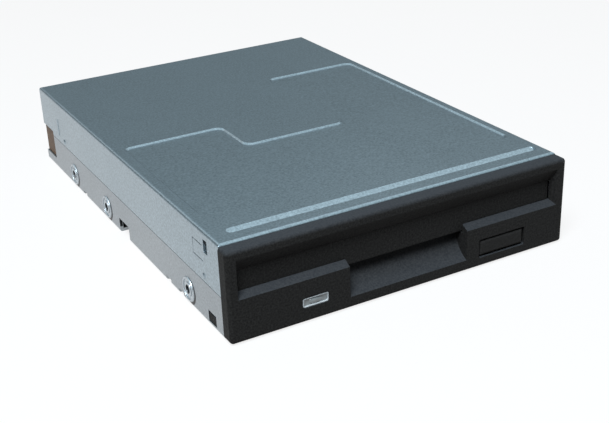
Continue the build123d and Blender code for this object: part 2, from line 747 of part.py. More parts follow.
with BuildPart() as disk_holder:
    with BuildSketch(Plane.XZ.offset(-holder_back)) as holder_section:
        with BuildLine():
            Polyline(
                (0, holder_roof_top),
                (holder_out, holder_roof_top),
                (holder_out, holder_floor_low),
                (holder_out - holder_flange, holder_floor_low),
                (holder_out - holder_flange, holder_floor_top),
                (holder_in, holder_floor_top),
                (holder_in, holder_roof_low),
                (0, holder_roof_low),
            )
            mirror(about=Plane.YZ)
        make_face()
        outer = [v for v in holder_section.vertices() if abs(abs(v.X) - holder_out) < 0.01]
        fillet(outer, mechanism_sheet * 0.8)
    extrude(amount=holder_back - holder_front)
    # The roof alone runs on past the disk
    block((-holder_in, holder_in), (holder_back - 0.1, holder_roof_back), (holder_roof_low, holder_roof_top))
    # Flanges stop short of the switches at the front
    for side in (-1, 1):
        flange = sorted((side * (holder_out - holder_flange - 1), side * (holder_out + 1)))
        block(flange, (holder_front - 1, front + 22.5), (holder_floor_low - 1, holder_floor_top + 1), Mode.SUBTRACT)
        for y in pin_y:
            bore = sorted((side * (holder_in - 1), side * (holder_out + 1)))
            bar(Axis.X, (y, pin_z), pin_radius * 0.6, bore, Mode.SUBTRACT)
    with BuildSketch(Plane.XY.offset(holder_roof_low)):
        with Locations((0, head_window_front)):
            Rectangle(2 * head_window_half, 60, align=(Align.CENTER, Align.MIN))
        with Locations((0, holder_back)):
            Rectangle(2 * tower_room_half, 60, align=(Align.CENTER, Align.MIN))
        slot_arc = CenterArc(lever_pivot, lever_radius, lever_rest_angle + 0.5, -lever_swing - 1.0)
        SlotArc(slot_arc, 2 * (lever_pin_radius + run_gap))
        with Locations(lever_pivot):
            Circle(stud_radius * 0.7)
    extrude(amount=mechanism_sheet, mode=Mode.SUBTRACT)
    # Small upright tab for the lever's spring
    lever_spring_end = (lever_tail_xy[0] + 3.0, lever_tail_xy[1] + 17.0)
    block(
        (lever_spring_end[0] - 0.8, lever_spring_end[0] + 0.8),
        (lever_spring_end[1], lever_spring_end[1] + 0.6),
        (holder_roof_top - 0.1, lever_top + 0.2),
    )
finish(disk_holder, "disk_holder")

with BuildPart() as holder_pins:
    for side in (-1, 1):
        for y in pin_y:
            head = sorted((side * holder_out, side * pin_tip))
            shank = sorted((side * holder_in, side * (holder_out + 0.2)))
            bar(Axis.X, (y, pin_z), pin_radius, head)
            bar(Axis.X, (y, pin_z), pin_radius * 0.6 - 0.02, shank)
finish(holder_pins, "holder_pins")

with BuildPart() as shutter_lever:
    with BuildSketch(Plane.XY.offset(lever_low)):
        with Locations(lever_pivot):
            Circle(lever_hub)
        with Locations(lever_tip):
            Circle(lever_pin_radius + 0.9)
        with Locations(lever_tail_xy):
            Circle(1.6)
        make_hull()
        with Locations(lever_pivot):
            Circle(stud_radius + running_clearance, mode=Mode.SUBTRACT)
    extrude(amount=lever_sheet)
    post(*lever_tip, lever_pin_radius, (lever_pin_low, lever_low + 0.1))
    chamfer(shutter_lever.faces().sort_by(Axis.Z)[0].edges(), 0.3)
finish(shutter_lever, "shutter_lever")

with BuildPart() as lever_pivot_stud:
    post(*lever_pivot, stud_radius, (holder_roof_top, lever_top + running_clearance))
    post(*lever_pivot, stud_head_radius, (lever_top + running_clearance, lever_top + running_clearance + stud_head))
    post(*lever_pivot, stud_radius * 0.7 - 0.02, (holder_roof_low, holder_roof_top + 0.1))
finish(lever_pivot_stud, "lever_pivot_stud")

with BuildPart() as lever_spring:
    start = Vector(lever_tail_xy[0], lever_tail_xy[1] + 1.7, (lever_low + lever_top) / 2)
    end = Vector(lever_spring_end[0], lever_spring_end[1], (lever_low + lever_top) / 2)
    run = end - start
    with BuildSketch(Plane(origin=start, z_dir=run)):
        Circle(0.28)
    extrude(amount=run.length - 0.02)
finish(lever_spring, "lever_spring")

# Posts that carry the loaded disk: two with pilot tips at the rear, two plain at the front
post_x = 37.0
post_radius = 1.8
post_base = 3.0
pilot_y = disk_end_y - 8.0
rest_y = label_y + 21.0
with BuildPart() as datum_posts:
    for side in (-1, 1):
        for y, tip in ((pilot_y, 1.6), (rest_y, 0)):
            post(side * post_x, y, post_base, (chassis_sheet, chassis_sheet + 0.8))
            post(side * post_x, y, post_radius, (chassis_sheet, disk_loaded_z))
            if tip:
                with Locations((side * post_x, y, disk_loaded_z)):
                    Cone(1.4, 0.9, tip, align=(Align.CENTER, Align.CENTER, Align.MIN))
finish(datum_posts, "datum_posts")

# Spindle motor
bearing_radius = 4.5
bearing_flange = 8.0
shaft_radius = 2.0
flange_top = board_top + 1.0
bearing_top = 8.0
rotor_radius = 26.0
rotor_sheet = 0.8
rotor_low = board_top + 1.0
rotor_roof_low = bearing_top + 0.4
rotor_top = rotor_roof_low + rotor_sheet
hub_top = disk_loaded_z + 0.3
hub_radius = 11.5
shaft_top = hub_top + 1.3
magnet_in = 23.3
core_out = 22.4
teeth = 12

with BuildPart() as motor_board:
    with BuildSketch(Plane.XY.offset(board_low)):
        with BuildLine():
            Polyline(
                (-strip_half, motor_board_front),
                (-32.0, motor_board_front),
                (-32.0, front + 5.6),
                (-22.0, front + 5.6),
                (-22.0, motor_board_front),
                (strip_half, motor_board_front),
                (strip_half, strip_back),
                (motor_board_half, strip_back),
                (motor_board_half, motor_board_back),
                (-motor_board_half, motor_board_back),
                (-motor_board_half, strip_back),
                (-strip_half, strip_back),
                close=True,
            )
        make_face()
        with Locations((0, spindle_y)):
            Circle(bearing_radius + running_clearance, mode=Mode.SUBTRACT)
        with Locations(*motor_screw_xy):
            Circle(board_screw_radius + running_clearance, mode=Mode.SUBTRACT)
    extrude(amount=board_sheet)
finish(motor_board, "motor_board")

with BuildPart() as spindle_bearing:
    post(0, spindle_y, bearing_radius, (board_low, bearing_top))
    post(0, spindle_y, bearing_flange, (board_top, flange_top))
    post(0, spindle_y, shaft_radius + 0.03, (board_low - 1, bearing_top + 1), Mode.SUBTRACT)
finish(spindle_bearing, "spindle_bearing")

core_low = flange_top
core_high = core_low + 1.8
with BuildPart() as stator_core:
    with BuildSketch(Plane.XY.offset(core_low)):
        with Locations((0, spindle_y)):
            Circle(11.0)
            with PolarLocations(0, teeth):
                Rectangle(core_out - 1.5, 2.2, align=(Align.MIN, Align.CENTER))
            with PolarLocations(core_out - 1.8, teeth):
                Rectangle(1.8, 7.4, align=(Align.MIN, Align.CENTER))
            Circle(bearing_radius + running_clearance, mode=Mode.SUBTRACT)
    extrude(amount=core_high - core_low)
finish(stator_core, "stator_core")

with BuildPart() as stator_coils:
    with BuildSketch(Plane.XY.offset(core_low - 0.8)):
        with Locations((0, spindle_y)):
            with PolarLocations(12.2, teeth):
                Trapezoid(6.6, 7.6, 82, rotation=90, align=(Align.CENTER, Align.MAX))
    extrude(amount=core_high - core_low + 1.4)
    with BuildSketch(Plane.XY.offset(core_low)):
        with Locations((0, spindle_y)):
            with PolarLocations(0, teeth):
                Rectangle(core_out + 4, 2.24, align=(Align.MIN, Align.CENTER))
    extrude(amount=core_high - core_low, mode=Mode.SUBTRACT)
finish(stator_coils, "stator_coils")

with BuildPart() as rotor_cup:
    post(0, spindle_y, rotor_radius, (rotor_low, rotor_top))
    post(0, spindle_y, rotor_radius - rotor_sheet, (rotor_low - 1, rotor_roof_low), Mode.SUBTRACT)
    post(0, spindle_y, 6.0, (rotor_roof_low, rotor_top + 0.8))
    post(0, spindle_y, shaft_radius + 0.02, (0, hub_top), Mode.SUBTRACT)
finish(rotor_cup, "rotor_cup")

with BuildPart() as rotor_magnet:
    post(0, spindle_y, rotor_radius - rotor_sheet - 0.02, (rotor_low + 0.3, rotor_roof_low - 0.02))
    post(0, spindle_y, magnet_in, (0, rotor_top), Mode.SUBTRACT)
finish(rotor_magnet, "rotor_magnet")

drive_pin_radius = 0.9
drive_pin_offset = 9.6
with BuildPart() as hub_disc:
    post(0, spindle_y, hub_radius, (rotor_top + 0.8, hub_top))
    chamfer(hub_disc.edges().group_by(Axis.Z)[-1], 0.3)
    post(0, spindle_y, shaft_radius + 0.02, (0, 20), Mode.SUBTRACT)
    post(drive_pin_offset, spindle_y, drive_pin_radius + 0.02, (0, 20), Mode.SUBTRACT)
finish(hub_disc, "hub_disc")

with BuildPart() as drive_pin:
    post(drive_pin_offset, spindle_y, drive_pin_radius, (rotor_top + 0.8, hub_top + 0.9))
    fillet(drive_pin.edges().group_by(Axis.Z)[-1], 0.3)
finish(drive_pin, "drive_pin")

with BuildPart() as spindle_shaft:
    post(0, spindle_y, shaft_radius, (board_low, shaft_top))
    chamfer(spindle_shaft.edges().group_by(Axis.Z)[-1], 0.4)
finish(spindle_shaft, "spindle_shaft")

# Head carriage, guide rods and lead screw
rod_x = 15.0
rod_z = 8.0
rod_radius = 1.5
rod_front = motor_board_back + 1.1
rod_rear = front + 130.0
clamp_size = (6.0, 4.0)
clamp_top = rod_z + rod_radius + 0.8
carriage_y = (head_y + 4.7, head_y + 30.5)
carriage_z = (5.2, 11.0)
nose_z = (rotor_top + 0.4, disk_loaded_z - 0.4)
nose_half = 6.5
tower_y = (disk_end_y + head_travel + 1.0, head_y + 30.5)
arm_hinge = (head_y + 27.5, 17.1)
arm_lift = 11.0
arm_half = 6.0
arm_sheet_t = 1.4
arm_pin_radius = 1.0
head_half = 3.0
screw_x = stepper_x
screw_z = stepper_z
screw_radius = 1.5
screw_front = front + 101.0
needle_y = screw_front + head_travel + 1.6

with BuildPart() as guide_rods:
    for side in (-1, 1):
        bar(Axis.Y, (side * rod_x, rod_z), rod_radius, (rod_front, rod_rear))
finish(guide_rods, "guide_rods")

rod_clamp_y = [(rod_front, rod_front + clamp_size[1]), (rod_rear - clamp_size[1], rod_rear)]
with BuildPart() as rod_clamps:
    for side in (-1, 1):
        for y_span in rod_clamp_y:
            x_span = (side * rod_x - clamp_size[0] / 2, side * rod_x + clamp_size[0] / 2)
            block(x_span, y_span, (chassis_sheet, clamp_top))
    for side in (-1, 1):
        bar(Axis.Y, (side * rod_x, rod_z), rod_radius + 0.02, (rod_front - 1, rod_rear + 1), Mode.SUBTRACT)
finish(rod_clamps, "rod_clamps")

with BuildPart() as head_carriage:
    with BuildSketch(Plane.XY.offset(carriage_z[0])):
        with BuildLine():
            wide = rod_x + 4
            narrow = 10.0
            Polyline(
                (-wide, carriage_y[0]),
                (wide, carriage_y[0]),
                (wide, carriage_y[0] + 14),
                (narrow, carriage_y[0] + 18),
                (narrow, carriage_y[1]),
                (-narrow, carriage_y[1]),
                (-narrow, carriage_y[0] + 18),
                (-wide, carriage_y[0] + 14),
                close=True,
            )
        make_face()
    extrude(amount=carriage_z[1] - carriage_z[0])
    # Nose over the rotor, which carries the lower head
    block((-nose_half, nose_half), (head_y - 4.3, carriage_y[0] + 2), nose_z)
    # Open middle behind the nose
    block((-4.5, 4.5), (carriage_y[0] + 4, carriage_y[0] + 14), (0, 20), Mode.SUBTRACT)
    # Tower with two ears for the arm's pin
    block((-9.0, 9.0), tower_y, (carriage_z[1] - 0.1, 14.5))
    for side in (-1, 1):
        ear_span = sorted((side * 7.2, side * 9.0))
        block(ear_span, tower_y, (14.4, arm_hinge[1] + 2.0))
    # Finger that reaches the lead screw, and flag for the track sensor
    block((screw_x + 2.6, -narrow + 1), (needle_y - 1.3, needle_y + 1.2), (8.4, 11.0))
    block((wide - 1, 27.4), (carriage_y[0] + 12.5, carriage_y[0] + 13.5), (6.0, 9.0))
    block((26.6, 27.4), (carriage_y[0] + 12.5, carriage_y[0] + 25.0), (6.0, 9.0))
    # Bush bore on the right rod, open fork on the left rod
    bar(Axis.Y, (rod_x, rod_z), rod_radius + 0.04, (carriage_y[0] - 10, carriage_y[1] + 10), Mode.SUBTRACT)
    bar(Axis.Y, (-rod_x, rod_z), rod_radius + 0.04, (carriage_y[0] - 10, carriage_y[1] + 10), Mode.SUBTRACT)
    fork_z = (rod_z - rod_radius - 0.04, rod_z + rod_radius + 0.04)
    block((-wide - 1, -rod_x), (carriage_y[0] - 1, carriage_y[0] + 8), fork_z, Mode.SUBTRACT)
    bar(Axis.X, arm_hinge, arm_pin_radius + 0.02, (-12, 12), Mode.SUBTRACT)
finish(head_carriage, "head_carriage")

lower_head_top = disk_loaded_z + disk_thickness / 2 - 0.05
with BuildPart() as lower_head:
    block((-head_half, head_half), (head_y - 2.5, head_y + 2.5), (nose_z[1], lower_head_top))
    fillet(lower_head.edges().group_by(Axis.Z)[-1], 0.5)
finish(lower_head, "lower_head")

with BuildPart() as follower_needle:
    needle_x = (screw_x + screw_radius + 0.1, screw_x + 2.6)
    bar(Axis.X, (needle_y, screw_z), 0.5, needle_x)
finish(follower_needle, "follower_needle")

with BuildPart() as arm_pin:
    bar(Axis.X, arm_hinge, arm_pin_radius, (-9.0, 9.0))
finish(arm_pin, "arm_pin")

# The upper arm is drawn level, as it lies with a disk loaded, and turned up about its hinge
lift_axis = Axis((0, arm_hinge[0], arm_hinge[1]), (1, 0, 0))
upper_head_low = disk_loaded_z + disk_thickness / 2 + 0.05
arm_low = arm_hinge[1] - arm_sheet_t / 2

with BuildPart() as arm_level:
    with BuildSketch(Plane.XY.offset(arm_low)):
        with BuildLine():
            Polyline(
                (-4.0, head_y - 4.0),
                (4.0, head_y - 4.0),
                (arm_half, head_y + 6.0),
                (arm_half, arm_hinge[0] + 0.5),
                (-arm_half, arm_hinge[0] + 0.5),
                (-arm_half, head_y + 6.0),
                close=True,
            )
        make_face()
        with Locations((0, arm_hinge[0] - 11)):
            RectangleRounded(6.0, 8.0, 1.5, mode=Mode.SUBTRACT)
    extrude(amount=arm_sheet_t)
    # Rolled knuckles round the pin, with room for the spring between them
    for side in (-1, 1):
        knuckle = sorted((side * 4.0, side * 7.0))
        bar(Axis.X, arm_hinge, 1.9, knuckle)
    block((-3.9, 3.9), (arm_hinge[0] - 2.4, arm_hinge[0] + 3), (arm_low - 1, arm_low + 4), Mode.SUBTRACT)
    bar(Axis.X, arm_hinge, arm_pin_radius + running_clearance, (-12, 12), Mode.SUBTRACT)

with BuildPart() as head_level:
    block((-head_half, head_half), (head_y - 2.5, head_y + 2.5), (upper_head_low, arm_low))
    fillet(head_level.edges().group_by(Axis.Z)[0], 0.5)

with BuildPart() as arm_spring_level:
    bar(Axis.X, arm_hinge, 1.9, (-3.4, 3.4))
    block((-0.3, 0.3), (arm_hinge[0] - 8, arm_hinge[0]), (arm_low + arm_sheet_t, arm_low + arm_sheet_t + 0.5))
    bar(Axis.X, arm_hinge, arm_pin_radius + 0.1, (-12, 12), Mode.SUBTRACT)

for name, level in (("upper_arm", arm_level), ("upper_head", head_level), ("arm_spring", arm_spring_level)):
    with BuildPart() as lifted:
        add(level.part.rotate(lift_axis, -arm_lift))
    finish(lifted, name)

with BuildPart() as lead_screw:
    bar(Axis.Y, (screw_x, screw_z), screw_radius, (screw_front, stepper_front - 1.6))
    bar(Axis.Y, (screw_x, screw_z), 0.9, (screw_front - 1.6, stepper_front - 0.4))
finish(lead_screw, "lead_screw")

with BuildPart() as screw_end_bearing:
    bearing_y = (screw_front - 1.8, screw_front - 0.3)
    block((screw_x - 3, screw_x + 3), bearing_y, (chassis_sheet, screw_z + 3))
    block((screw_x - 3, screw_x + 3), (bearing_y[0], bearing_y[1] + 4), (chassis_sheet, chassis_sheet + 1))
    bar(Axis.Y, (screw_x, screw_z), 0.95, (screw_front - 5, screw_front + 1), Mode.SUBTRACT)
    fillet(screw_end_bearing.edges().filter_by(Axis.Y).group_by(Axis.Z)[-1], 2.0)
finish(screw_end_bearing, "screw_end_bearing")

with BuildPart() as stepper_motor:
    bar(Axis.Y, (screw_x, screw_z), stepper_radius, (stepper_front, stepper_back))
    rims = stepper_motor.edges().filter_by(GeomType.CIRCLE)
    fillet(rims, 0.6)
    bar(Axis.Y, (screw_x, screw_z), 3.0, (stepper_back - 0.3, stepper_back + 0.2))
finish(stepper_motor, "stepper_motor")

bracket_y = (stepper_front - 1.2, stepper_front)
with BuildPart() as stepper_bracket:
    bracket_x = (screw_x - stepper_radius - 2, screw_x + stepper_radius + 2)
    block(bracket_x, bracket_y, (chassis_sheet, screw_z + 6))
    fillet(stepper_bracket.edges().filter_by(Axis.Y).group_by(Axis.Z)[-1], 4.0)
    block(bracket_x, (bracket_y[0] - 7, bracket_y[1]), (chassis_sheet, chassis_sheet + 1.0))
    bar(Axis.Y, (screw_x, screw_z), 2.0, (bracket_y[0] - 1, bracket_y[1] + 1), Mode.SUBTRACT)
    for x in (bracket_x[0] + 3, bracket_x[1] - 3):
        post(x, bracket_y[0] - 3.5, 1.1, (0, 3), Mode.SUBTRACT)
finish(stepper_bracket, "stepper_bracket")

# Amber terminal strip on the motor's left side
with BuildPart() as stepper_terminal:
    strip_x = (-upper_wall_out - 0.2, -upper_wall_out + 1.0)
    strip_y = (corner_opening_y[0] + run_gap, metal_rear - fit_gap)
    block(strip_x, strip_y, (corner_opening_z[0] + 0.1, corner_opening_z[1] - 0.2))
    block((strip_x[0], screw_x - 5), (stepper_back - 7, stepper_back - 2), (screw_z - 1.2, screw_z + 1.2))
    bar(Axis.Y, (screw_x, screw_z), stepper_radius, (stepper_front, stepper_back + 1), Mode.SUBTRACT)
finish(stepper_terminal, "stepper_terminal")

# Main board at the rear
clamp_hole = 0.5
with BuildPart() as main_board:
    with BuildSketch(Plane.XY.offset(board_low)):
        with BuildLine():
            Polyline(
                (main_board_x[0], main_board_y[0]),
                (main_board_x[1], main_board_y[0]),
                (main_board_x[1], main_board_y[1]),
                (main_board_x[0], main_board_y[1]),
                close=True,
            )
        make_face()
        for side in (-1, 1):
            with Locations((side * rod_x, rod_rear - clamp_size[1] / 2)):
                Rectangle(clamp_size[0] + 2 * clamp_hole, clamp_size[1] + 2 * clamp_hole, mode=Mode.SUBTRACT)
        with Locations(*main_screw_xy):
            Circle(board_screw_radius + running_clearance, mode=Mode.SUBTRACT)
    extrude(amount=board_sheet)
finish(main_board, "main_board")

pin_pitch = 2.54
pin_side = 0.64
columns = 17
interface_mid = (interface_x[0] + interface_x[1]) / 2
interface_top = board_top + interface_height
interface_cavity = 8.0
pin_rows = (board_top + interface_height / 2 - pin_pitch / 2, board_top + interface_height / 2 + pin_pitch / 2)
cavity_half = columns * pin_pitch / 2 + 1.6

with BuildPart() as interface_connector:
    block(interface_x, (connector_back - interface_depth, connector_back), (board_top, interface_top))
    block(
        (interface_mid - cavity_half, interface_mid + cavity_half),
        (connector_back - interface_cavity, connector_back + 1),
        (board_top + 1.3, interface_top - 1.3),
        Mode.SUBTRACT,
    )
    # Polarising notch in the upper wall
    block(
        (interface_mid - 2.2, interface_mid + 2.2),
        (connector_back - interface_cavity + 1, connector_back + 1),
        (interface_top - 2, interface_top + 1),
        Mode.SUBTRACT,
    )
    for column in range(columns):
        x = interface_mid + (column - (columns - 1) / 2) * pin_pitch
        for z in pin_rows:
            block(
                (x - pin_side / 2, x + pin_side / 2),
                (connector_back - interface_depth - 1, connector_back - interface_cavity + 1),
                (z - pin_side / 2, z + pin_side / 2),
                Mode.SUBTRACT,
            )
finish(interface_connector, "interface_connector")


def bent_pin(x, z, back_y, reach):
    """One right-angle pin: out to the rear at height z, down to the board at its front end."""
    half = pin_side / 2
    block((x - half, x + half), (reach - half, back_y), (z - half, z + half))
    block((x - half, x + half), (reach - half, reach + half), (board_top, z))


with BuildPart() as interface_pins:
    for column in range(columns):
        x = interface_mid + (column - (columns - 1) / 2) * pin_pitch
        for row, z in enumerate(pin_rows):
            reach = connector_back - interface_depth - 1.2 - row * pin_pitch
            bent_pin(x, z, connector_back - 1.2, reach)
finish(interface_pins, "interface_pins")

power_mid = (power_x[0] + power_x[1]) / 2
power_top = board_top + power_height
power_pitch = 2.5
power_ways = 4
power_pin_z = board_top + power_height / 2
with BuildPart() as power_connector:
    block(power_x, (connector_back - power_depth, connector_back), (board_top, power_top))
    block(
        (power_x[0] + 0.8, power_x[1] - 0.8),
        (connector_back - power_depth + 1.4, connector_back + 1),
        (board_top + 0.9, power_top - 0.9),
        Mode.SUBTRACT,
    )
    for way in range(power_ways):
        x = power_mid + (way - (power_ways - 1) / 2) * power_pitch
        block(
            (x - pin_side / 2, x + pin_side / 2),
            (connector_back - power_depth - 1, connector_back - power_depth + 2),
            (power_pin_z - pin_side / 2, power_pin_z + pin_side / 2),
            Mode.SUBTRACT,
        )
finish(power_connector, "power_connector")

with BuildPart() as power_pins:
    for way in range(power_ways):
        x = power_mid + (way - (power_ways - 1) / 2) * power_pitch
        bent_pin(x, power_pin_z, connector_back - 1.5, connector_back - power_depth - 1.0)
finish(power_pins, "power_pins")

# Chips under the main board and on the motor board
with BuildPart() as board_chips:
    under_z = (board_low - 1.0, board_low)
    block((6.0, 20.0), (front + 104.0, front + 118.0), under_z)
    block((-6.0, 2.0), (front + 108.0, front + 113.0), under_z)
    block((26.0, 38.0), (front + 104.0, front + 109.0), under_z)
    block((-20.0, -10.0), (front + 13.5, front + 19.5), (board_top, board_top + 1.2))
finish(board_chips, "board_chips")

with BuildPart() as capacitors:
    for x, y in ((39.5, front + 107.5), (39.5, front + 114.0), (33.4, front + 107.5)):
        post(x, y, 2.5, (board_top, board_top + 5.4))
    fillet(capacitors.edges().group_by(Axis.Z)[-1], 0.5)
finish(capacitors, "capacitors")

with BuildPart() as resonator:
    with BuildSketch(Plane.XY.offset(board_top)):
        with Locations((38.0, front + 122.0)):
            SlotOverall(11.0, 4.6)
    extrude(amount=3.4)
finish(resonator, "resonator")

sensor_y = (carriage_y[1] - 9.5, carriage_y[1] - 3.5)
with BuildPart() as track_zero_sensor:
    block((24.6, 29.4), sensor_y, (board_top, board_top + 7.0))
    block((26.1, 27.9), (sensor_y[0] - 1, sensor_y[1] + 1), (board_top + 1.8, board_top + 8), Mode.SUBTRACT)
finish(track_zero_sensor, "track_zero_sensor")

# Switches at the front corners and their sprung plungers
plunger_radius = 0.9
plunger_top = disk_loaded_z + 1.0
plunger_travel = 1.2
switch_height = 5.0
switch_xy = {
    "density": (-40.5, motor_board_front + 3.0),
    "protect": (40.5, motor_board_front + 3.0),
    "disk_in": (34.5, motor_board_front + 3.0),
}
switch_top = board_top + switch_height
with BuildPart() as switch_bodies:
    for x, y in switch_xy.values():
        block((x - 2.4, x + 2.4), (y - 2.4, y + 2.4), (board_top, switch_top))
    for x, y in switch_xy.values():
        post(x, y, plunger_radius + running_clearance, (board_top + 1.6, switch_top + 1), Mode.SUBTRACT)
finish(switch_bodies, "switch_bodies")

for name, (x, y) in switch_xy.items():
    with BuildPart() as plunger:
        post(x, y, plunger_radius, (board_top + 1.7 + plunger_travel, plunger_top))
        fillet(plunger.edges().group_by(Axis.Z)[-1], 0.4)
    finish(plunger, f"{name}_plunger")

# Lamp behind its lens
with BuildPart() as lamp_lens:
    lens_gap = 0.08
    block(
        (lamp_x[0] + lens_gap, lamp_x[1] - lens_gap),
        (front + 0.05, front + bezel_wall + 0.1),
        (lamp_z[0] + lens_gap, lamp_z[1] - lens_gap),
    )
    fillet(lamp_lens.edges().filter_by(Axis.Y), aperture_round - lens_gap)
    block(
        (lamp_x[0] - 0.8, lamp_x[1] + 0.8),
        (front + bezel_wall + 0.02, front + bezel_wall + 0.9),
        (lamp_z[0] - 0.8, lamp_z[1] + 0.8),
    )
finish(lamp_lens, "lamp_lens")

with BuildPart() as activity_lamp:
    lamp_mid = ((lamp_x[0] + lamp_x[1]) / 2, (lamp_z[0] + lamp_z[1]) / 2)
    block((lamp_mid[0] - 2.3, lamp_mid[0] + 2.3), (front + 6.4, front + 9.4), (board_top, lamp_mid[1] + 1.8))
    bar(Axis.Y, lamp_mid, 1.5, (front + 3.4, front + 6.5))
    fillet(activity_lamp.edges().group_by(Axis.Y)[0], 1.3)
finish(activity_lamp, "activity_lamp")

# Flat ribbon between the boards, with a socket at each end
ribbon_x = (20.5, 29.5)
ribbon_y = (motor_board_back - 1.0, main_board_y[0] + 2.5)
socket_height = 1.8
with BuildPart() as ribbon_sockets:
    for y_span in ((ribbon_y[0] - 3.0, ribbon_y[0] + 0.5), (ribbon_y[1] - 0.5, ribbon_y[1] + 3.0)):
        block((ribbon_x[0] - 1.2, ribbon_x[1] + 1.2), y_span, (board_top, board_top + socket_height))
    block(
        (ribbon_x[0] - 0.05, ribbon_x[1] + 0.05),
        ribbon_y,
        (board_top + 0.55, board_top + 0.95),
        Mode.SUBTRACT,
    )
finish(ribbon_sockets, "ribbon_sockets")

with BuildPart() as board_ribbon:
    block(ribbon_x, ribbon_y, (board_top + 0.6, board_top + 0.9))
finish(board_ribbon, "board_ribbon")

with BuildPart() as board_screws:
    for x, y in motor_screw_xy + main_screw_xy:
        post(x, y, board_screw_radius, (0.3, board_top + 0.1))
        post(x, y, board_screw_head, (board_top, board_top + 1.1))
    fillet(board_screws.edges().group_by(Axis.Z)[-1], 0.4)
finish(board_screws, "board_screws")

with BuildPart() as bracket_screws:
    for x in (bracket_x[0] + 3, bracket_x[1] - 3):
        post(x, bracket_y[0] - 3.5, 1.05, (chassis_sheet, chassis_sheet + 1.1))
        post(x, bracket_y[0] - 3.5, 2.2, (chassis_sheet + 1.0, chassis_sheet + 2.2))
finish(bracket_screws, "bracket_screws")
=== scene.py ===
import json
import math

import bmesh
import bpy
from mathutils import Matrix, Vector


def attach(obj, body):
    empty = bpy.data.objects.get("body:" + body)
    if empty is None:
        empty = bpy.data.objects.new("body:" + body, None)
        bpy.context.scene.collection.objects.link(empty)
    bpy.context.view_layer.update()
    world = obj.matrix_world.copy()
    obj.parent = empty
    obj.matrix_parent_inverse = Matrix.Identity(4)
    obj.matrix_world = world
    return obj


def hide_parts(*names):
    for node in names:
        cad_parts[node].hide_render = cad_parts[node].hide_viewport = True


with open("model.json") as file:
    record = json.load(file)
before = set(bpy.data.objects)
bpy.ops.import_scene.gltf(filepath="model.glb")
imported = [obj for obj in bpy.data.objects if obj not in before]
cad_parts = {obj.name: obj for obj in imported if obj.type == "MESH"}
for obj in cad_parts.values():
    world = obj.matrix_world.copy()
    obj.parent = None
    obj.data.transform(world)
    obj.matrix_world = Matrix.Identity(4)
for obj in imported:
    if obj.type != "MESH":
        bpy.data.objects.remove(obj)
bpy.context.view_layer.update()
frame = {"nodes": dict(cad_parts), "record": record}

# Lengths are in mm unless a comment says otherwise, in the frame of the CAD
MM = 0.001
CASE_FRONT = -73.0     # the bezel's face along Y
BOARD_UNDER = 2.4      # underside of both boards
SIDE_WALL = 50.05      # middle of the side walls' sheet, left and right of the middle plane
HOLES_BACK = (25.0, 85.0, 115.0)   # tapped side holes, behind the bezel's face
HOLES_UP = 4.2


def linear(r, g, b):
    """An sRGB colour from 0 to 255 as linear RGBA."""
    return tuple(c / 255 / 12.92 if c <= 10 else ((c / 255 + 0.055) / 1.055) ** 2.4
                 for c in (r, g, b)) + (1.0,)


def shade(colour, factor):
    return tuple(min(1.0, c * factor) for c in colour[:3]) + (1.0,)


def placed(name, data):
    """A new object in the scene."""
    obj = bpy.data.objects.new(name, data)
    bpy.context.scene.collection.objects.link(obj)
    return obj


class Graph:
    """The shader nodes of a material or a world."""

    def __init__(self, owner, output):
        self.owner = owner
        owner.use_nodes = True
        self.tree = owner.node_tree
        self.tree.nodes.clear()
        self.end = self.node(output).inputs[0]

    def node(self, kind, inputs=None, **props):
        """A new node; each of its inputs is given as a value or as another node's output."""
        node = self.tree.nodes.new("ShaderNode" + kind)
        for key, value in props.items():
            setattr(node, key, value)
        for key, value in (inputs or {}).items():
            self.fill(node.inputs[key], value)
        return node

    def fill(self, socket, value):
        if isinstance(value, bpy.types.NodeSocket):
            self.tree.links.new(value, socket)
        else:
            socket.default_value = value

    def calc(self, operation, *values):
        return self.node("Math", dict(enumerate(values)), operation=operation).outputs[0]

    def fold(self, operation, values):
        """Joins values pair by pair with one operation."""
        total = values[0]
        for value in values[1:]:
            total = self.calc(operation, total, value)
        return total

    def mix(self, factor, a, b, mode="MIX"):
        """Two colours; the node's colour sockets are inputs 6 and 7 and output 2."""
        return self.node("Mix", {0: factor, 6: a, 7: b}, data_type="RGBA", blend_type=mode).outputs[2]

    def shown_ray(self):
        """1 for camera, glossy and transmission rays, which all see the same pale background."""
        path = self.node("LightPath").outputs
        return self.fold("MAXIMUM", [path[f"Is {ray} Ray"] for ray in ("Camera", "Glossy", "Transmission")])


